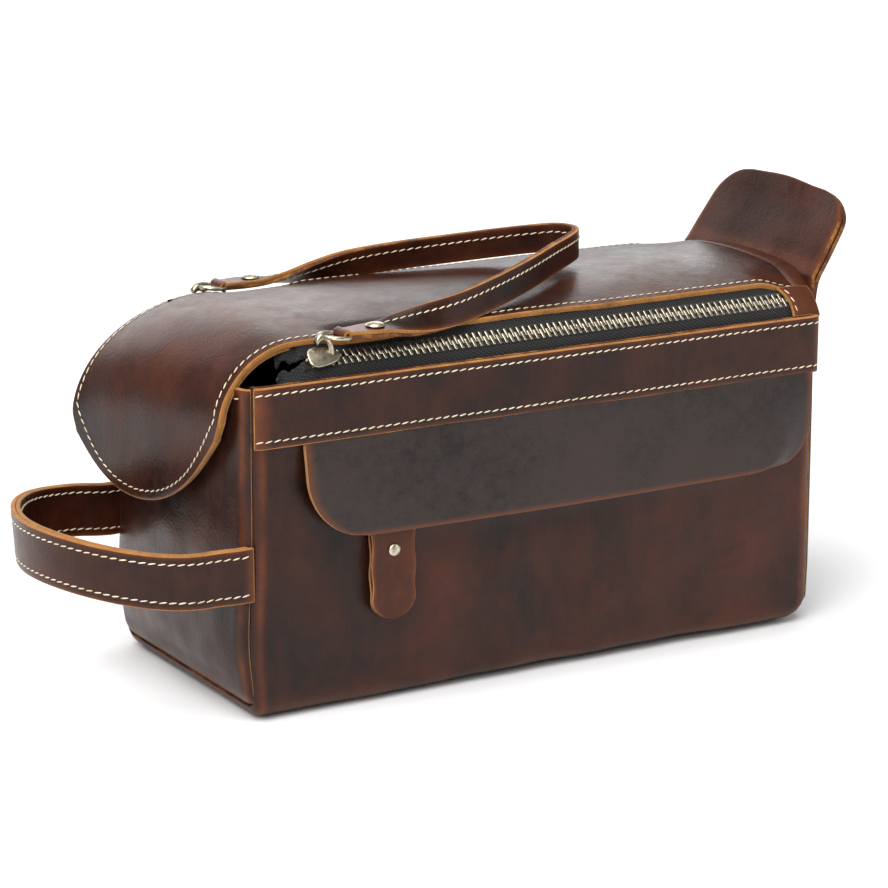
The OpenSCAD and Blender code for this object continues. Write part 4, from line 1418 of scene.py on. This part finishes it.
class WASHBAG_OT_loop(Operator):
    """Build the two-layer carry loop on the left end."""

    bl_idname = "washbag.loop"
    bl_label = "Carry Loop"

    def execute(self, context):
        start, end = (-0.134, 0, 0.06), (-0.147, 0, 0.06)
        leather = oiled_leather("loop_leather", 0.008, 1.0, 0.05)

        def burn(u, w):
            d = min(w, 1 - w) * 22
            return clamp(near(d, 1.0) * 0.6 + max(ease(0.03, 0.0, u), ease(0.97, 1.0, u)) * 0.6)

        middle, back = (-150, 0, 60), sunk(loop_place, 2.15)
        outer = leather_sheet("loop_outer", loop_place, 160, 12, 2.0, leather, raw_edge(), burn, middle)
        inner = leather_sheet("loop_inner", back, 160, 12, 1.8, leather, raw_edge(), burn, middle)
        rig.replaces(outer, "handle_outer_layer", "handle_seam_tabs")
        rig.replaces(inner, "handle_inner_layer")
        rows = []
        for k, name in ((0.15, "low"), (0.85, "high")):
            for face, place, flip in (("outer", loop_place, 1), ("inner", sunk(loop_place, 3.97), -1)):
                at = along_sheet(place, lambda t, k=k: (mix(0.012, 0.988, t), k), flip)
                rows.append(stitch_row("loop_%s_%s_stitches" % (face, name), at))
        for obj in (outer, inner, *rows):
            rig.slot(obj, "bag_leather")
            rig.blend(obj, "bag", "handle", start, end)
        return {"FINISHED"}


class WASHBAG_OT_ear(Operator):
    """Build the ear at the right end, its root and the hinge strip."""

    bl_idname = "washbag.ear"
    bl_label = "Pull Ear"

    def execute(self, context):
        start, end = (0.1405, 0, 0.1455), (0.1435, 0, 0.1515)
        leather = oiled_leather("ear_leather", 0.03, 1.0, 0.02)

        def burn(u, w):
            y = abs(2 * w - 1)
            return clamp(near((1 - y) * EAR_HALF, 1.6) * 0.8 + ease(0.985, 1.0, u) * 0.6
                         + 0.35 * near(u - 0.30, 0.07))

        rubbed = burnt_edge()
        layers = (
            ("ear_outer", 0.0, [(137.9, 128.0), (139.8, 137.0), (142.4, 144.2)], 36.0, EAR_HALF, 0.0, 1.8),
            ("ear_middle", 1.9, [(137.6, 142.2), (139.2, 144.2), (140.9, 146.3)], 35.2, 47.8, 0.5, 1.5),
            ("ear_inner", 4.6, [(137.0, 144.8), (138.0, 146.4), (139.0, 147.8)], 36.2, 49.3, 0.9, 1.8))
        for name, depth, root, length, half, seed, thick in layers:
            place = ear_place(depth, root, length, half, seed)
            away = (200, 0, 100) if name == "ear_inner" else (100, 0, 200)
            layer = leather_sheet(name, place, 44, 64, thick, leather, rubbed, burn, away)
            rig.slot(layer, "bag_leather")
            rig.blend(layer, "bag", "ear", start, end)
            if name == "ear_outer":
                row = along_sheet(place, lambda t: (0.045, mix(0.04, 0.96, t)), 1)
                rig.blend(stitch_row("ear_root_stitches", row), "bag", "ear", start, end)
            if name == "ear_inner":
                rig.replaces(layer, "ear_inner_layer", "ear_core", "ear_outer_layer", "ear_root")
        dress("hinge_riser", leather, "bag_leather")

        def bridge(u, w):
            y = (2 * w - 1) * 48.0
            top = lid_crown(y) - 5.2 * ease(0.60, 1.0, abs(y) / LID_HALF)
            x = mix(127.6, 140.4 - 2.2 * (y / LID_HALF) ** 2, u)
            return x, y, top - 3.1 + 1.4 * ease(0.12, 0.55, u) - 0.5 * ease(0.7, 1.0, u)

        strip = leather_sheet("lid_hinge_strip", bridge, 26, 40, 1.4, leather, rubbed, lambda u, w: 0.15,
                              (135, 0, 300), 0.3)
        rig.slot(strip, "bag_leather")
        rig.blend(strip, "lid", "bag", (0.1298, 0, 0.1475), (0.1350, 0, 0.1475))
        return {"FINISHED"}


class WASHBAG_OT_pocket(Operator):
    """Build the flap, the zip and the pull tab of the front pocket."""

    bl_idname = "washbag.pocket"
    bl_label = "Front Pocket"

    def execute(self, context):
        def burn(u, w):
            return clamp(near(w * 38, 1.3) * 0.6 + ease(0.02, 0.0, u) * 0.5 + ease(0.985, 1.0, u) * 0.5)

        flap = leather_sheet("pocket_flap_leather", flap_place, 150, 40, 2.0, flap_leather(), raw_edge(),
                             burn, (0, 0, 90))
        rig.slot(flap, "flap_leather")
        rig.replaces(flap, "pocket_flap")
        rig.blend(flap, "bag", "flap", (0, -0.0635, 0.1112), (0, -0.0635, 0.1050))
        self.teeth()
        self.tab()
        dress("pocket_zip_tape", woven_tape(), "zip_tape")
        dress("pocket_slider_body", antique_brass("pocket_brass", 1.0), "brass_hardware")
        dress("pocket_pull_link", antique_brass("pocket_brass", 1.0), "brass_hardware")
        return {"FINISHED"}

    def teeth(self):
        """Both rows of the pocket zip's teeth, meshed half a pitch apart."""
        bm = bmesh.new()
        y = (POCKET_LOW.y + POCKET_HIGH.y) / 2
        pitch = 2.4
        for i in range(int((POCKET_HIGH.x - POCKET_LOW.x) / pitch)):
            for side in (-1, 1):
                x = POCKET_LOW.x + pitch * (i + 0.5 + (0.25 if side > 0 else -0.25))
                m = Matrix.Translation(Vector((x, y, POCKET_Z + side * 1.1)) * MM) @ Matrix.Scale(MM, 4)
                made = bmesh.ops.create_cube(bm, size=1, matrix=m @ Matrix.Diagonal((1.05, 2.2, 3.2, 1)))
                edges = list({e for v in made["verts"] for e in v.link_edges})
                bmesh.ops.bevel(bm, geom=edges, offset=0.25 * MM, offset_type="OFFSET", segments=1,
                                profile=0.5, affect="EDGES", clamp_overlap=True, material=-1)
        bmesh.ops.recalc_face_normals(bm, faces=bm.faces)
        row = as_object("pocket_teeth", bm, [antique_brass("tooth_brass", 1.05)])
        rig.ride(row, "bag")
        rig.slot(row, "brass_hardware")
        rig.replaces(row, "pocket_zip_teeth")

    def tab(self):
        """The two-layer pull tab with its rivet."""
        leather = oiled_leather("tab_leather", 0.035, 1.3, -0.03)
        top, low, half = TAB_HIGH.z, TAB_LOW.z, (TAB_HIGH.x - TAB_LOW.x) / 2
        front = TAB_LOW.y

        def place_at(y, seed):
            def place(u, w):
                z = mix(low, top, w)
                up = z - low
                wide = half
                if up < half:
                    wide = math.sqrt(max(0.0, half ** 2 - (half - up) ** 2))
                x = PULL_X + (2 * u - 1) * (wide - 0.3 * math.sin(z * 0.4 + seed))
                bow = 0.9 * math.sin(math.pi * clamp(1 - w)) * ease(0.75, 0.2, w)
                ripple = 0.25 * swell(x, seed, z, 9, seed) * ease(0.8, 0.55, w)
                return x, y - bow * 0.5 + ripple, z

            return place

        def burn(u, w):
            return clamp(0.15 + 0.6 * near((0.5 - abs(u - 0.5)) * 19, 1.0))

        for name, y, seed in (("tab_front", front + 0.05, 1.0), ("tab_back", front + 2.1, 2.3)):
            layer = leather_sheet(name, place_at(y, seed), 18, 40, 1.15, leather, raw_edge(), burn,
                                  (PULL_X, 40, 50), 0.25)
            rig.ride(layer, "pull_tab")
            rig.slot(layer, "bag_leather")
            if seed == 1.0:
                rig.replaces(layer, "pocket_pull_tab")
        centre = Vector((PULL_X, front - 0.35, top - 9.5)) * MM
        at = Matrix.Translation(centre) @ Matrix.Rotation(math.pi / 2, 4, "X")
        head = spun("tab_rivet_head", [(r * 0.66, h * 0.8) for r, h in RIVET], at,
                    [antique_brass("rivet_brass", 1.25)])
        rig.ride(head, "pull_tab")
        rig.slot(head, "brass_hardware")
        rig.replaces(head, "tab_rivet")


class WASHBAG_OT_inside(Operator):
    """Dress the lining, the pocket bag and the stiffening board."""

    bl_idname = "washbag.inside"
    bl_label = "Inside"

    def execute(self, context):
        dress("pocket_lining", lining_cloth(), "lining_cloth")
        deep = sunk(lid_place, sizes().lid_leather / MM + 0.1, -1)

        def under(u, w):
            return deep(mix(0.02, 0.61, u), mix(0.035, 0.965, w))

        cloth = leather_sheet("lid_cloth", under, 60, 24, 0.5, lining_cloth(), lining_cloth(), None,
                              (0, 0, 100), 0)
        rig.ride(cloth, "lid")
        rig.slot(cloth, "lining_cloth")
        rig.replaces(cloth, "lid_lining")
        self.bag_lining()
        dress("base_board", pressed_board(), "fibre_board")
        return {"FINISHED"}

    def bag_lining(self):
        """Cloth bag sewn to the tapes under the rim, loose enough to wrinkle."""
        end_x, top = 127.0, 131.5
        section = through([(-57.6, top), (-57.4, 118), (-57, 104), (-51.2, 97), (-51, 70), (-50.8, 30),
                           (-50.2, 8), (-44, 4.6), (0, 4.3), (44, 4.6), (54, 9), (56.5, 24), (57, 70),
                           (57.4, 110), (57.6, top)])

        def wall(u, w):
            y, z = section(w)
            x = towards_ends(u, 0.3) * end_x
            crease = (0.8 * swell(x, y, z, 24, 5.0) + 0.4 * swell(x, y, z, 9, 2.0)) * ease(128, 112, z)
            return x, y * (1 - 0.008 * crease), z + max(0.0, crease) * (z < 20)

        def end_wall(side):
            def at(u, w):
                z = mix(4.6, top, w)
                half = mix(50.5, 57.2, ease(90, 104, z))
                crease = 0.9 * swell(side * 9, u * 90, z, 22, 6.0)
                return side * (end_x + crease * math.sin(math.pi * u)), mix(-half, 57.0, u), z

            return at

        cloth = lining_cloth()
        pieces = [leather_sheet("lining_wall", wall, 60, 90, 0.6, cloth, cloth, None, (0, 0, 60), 0)]
        for side, name in ((-1, "left"), (1, "right")):
            pieces.append(leather_sheet("lining_%s_end" % name, end_wall(side), 30, 30, 0.6, cloth, cloth,
                                        None, (0, 0, 60), 0))
        for piece in pieces:
            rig.ride(piece, "bag")
            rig.slot(piece, "lining_cloth")
        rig.replaces(pieces[0], "main_lining")


class WASHBAG_OT_stage(Operator):
    """Set the pale floor, the soft lights and the camera."""

    bl_idname = "washbag.stage"
    bl_label = "Stage"

    def execute(self, context):
        self.floor()
        self.lights(context.scene)
        self.camera(context.scene)
        return {"FINISHED"}

    def floor(self):
        """A wide pale floor just under the bag."""
        bm = bmesh.new()
        bmesh.ops.create_grid(bm, x_segments=1, y_segments=1, size=6.0)
        bmesh.ops.translate(bm, verts=bm.verts, vec=(0, 0, -0.0005))
        n = Nodes("pale_floor")
        soft = n.noise(3, 3, 0.5)
        shade = n.ramp(soft, [(0.3, (0.86, 0.86, 0.86)), (0.7, (0.89, 0.89, 0.89))])
        n.set(Base_Color=shade, Roughness=0.7, Specular_IOR_Level=0.2)
        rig.stage(as_object("floor", bm, [n.mat], False))

    def lights(self, scene):
        """A white surround, a broad sun and four soft boxes."""
        world = scene.world or bpy.data.worlds.new("studio")
        scene.world = world
        world.use_nodes = True
        sky = world.node_tree.nodes["Background"]
        sky.inputs["Color"].default_value = (1, 1, 1, 1)
        sky.inputs["Strength"].default_value = 0.32
        scene.view_settings.view_transform = "Standard"
        for name, kind, at, aim, power, wide, tall in (
                ("daylight", "SUN", (-0.5, -0.35, 1.5), (0, 0, 0), 3.0, 0, 0),
                ("overhead", "AREA", (-0.10, 0.15, 1.15), (0, 0, 0.1), 3.0, 1.0, 0.6),
                ("key", "AREA", (-0.95, -0.85, 0.75), (-0.03, 0, 0.08), 7.0, 0.6, 0.7),
                ("back", "AREA", (0.35, 1.45, 0.65), (0, 0, 0.1), 7.5, 1.6, 0.7),
                ("fill", "AREA", (1.0, -1.0, 0.55), (0, 0, 0.08), 2.0, 0.7, 0.8)):
            lamp = bpy.data.lights.new(name, kind)
            if kind == "SUN":
                lamp.angle = math.radians(55)
            else:
                lamp.shape = "RECTANGLE"
                lamp.size, lamp.size_y = wide, tall
            lamp.energy = power
            obj = bpy.data.objects.new(name, lamp)
            obj.location = at
            obj.rotation_mode = "QUATERNION"
            obj.rotation_quaternion = (Vector(aim) - Vector(at)).to_track_quat("-Z", "Y")
            obj.visible_camera = False
            scene.collection.objects.link(obj)

    def camera(self, scene):
        """A long lens that looks at the front left corner from a little above."""
        azimuth, height, away = math.radians(-30.1), math.radians(14.48), 1.3924
        lens = bpy.data.cameras.new("view")
        lens.sensor_width = 36
        lens.lens = 135.68
        lens.clip_start, lens.clip_end = 0.05, 50
        camera = bpy.data.objects.new("view", lens)
        back = Vector((math.sin(azimuth) * math.cos(height), -math.cos(azimuth) * math.cos(height),
                       math.sin(height)))
        camera.location = Vector((-0.0128, 0, 0.0835)) + back * away
        camera.rotation_mode = "QUATERNION"
        camera.rotation_quaternion = (-back).to_track_quat("-Z", "Y")
        scene.collection.objects.link(camera)
        scene.camera = camera


class WASHBAG_PT_build(Panel):
    """The wash bag's pieces and sizes."""

    bl_label = "Wash Bag"
    bl_idname = "WASHBAG_PT_build"
    bl_space_type = "VIEW_3D"
    bl_region_type = "UI"
    bl_category = "Wash Bag"

    def draw(self, context):
        layout = self.layout
        for group in (context.scene.wash_bag_sizes, context.scene.wash_bag_finishes):
            column = layout.column(align=True)
            for key in group.__annotations__:
                column.prop(group, key)
        column = layout.column(align=True)
        for step in STEPS:
            column.operator(step.bl_idname)


STEPS = (WASHBAG_OT_shell, WASHBAG_OT_bands, WASHBAG_OT_lid, WASHBAG_OT_zips, WASHBAG_OT_sliders,
         WASHBAG_OT_strap, WASHBAG_OT_loop, WASHBAG_OT_ear, WASHBAG_OT_pocket, WASHBAG_OT_inside,
         WASHBAG_OT_stage)
CLASSES = (WashBagSizes, WashBagFinishes) + STEPS + (WASHBAG_PT_build,)


def register():
    for cls in CLASSES:
        bpy.utils.register_class(cls)
    bpy.types.Scene.wash_bag_sizes = PointerProperty(type=WashBagSizes)
    bpy.types.Scene.wash_bag_finishes = PointerProperty(type=WashBagFinishes)


def unregister():
    del bpy.types.Scene.wash_bag_finishes
    del bpy.types.Scene.wash_bag_sizes
    for cls in reversed(CLASSES):
        bpy.utils.unregister_class(cls)


def main():
    register()
    bpy.ops.washbag.shell()
    bpy.ops.washbag.bands()
    bpy.ops.washbag.lid()
    bpy.ops.washbag.zips()
    bpy.ops.washbag.sliders()
    bpy.ops.washbag.strap()
    bpy.ops.washbag.loop()
    bpy.ops.washbag.ear()
    bpy.ops.washbag.pocket()
    bpy.ops.washbag.inside()
    bpy.ops.washbag.stage()
    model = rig.bounds()
    with open("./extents.json", "w") as out:
        json.dump({"cad": [list(CAD_BOX[0]), list(CAD_BOX[1])],
                   "model": [list(model[0]), list(model[1])]}, out)


if __name__ == "__main__":
    main()
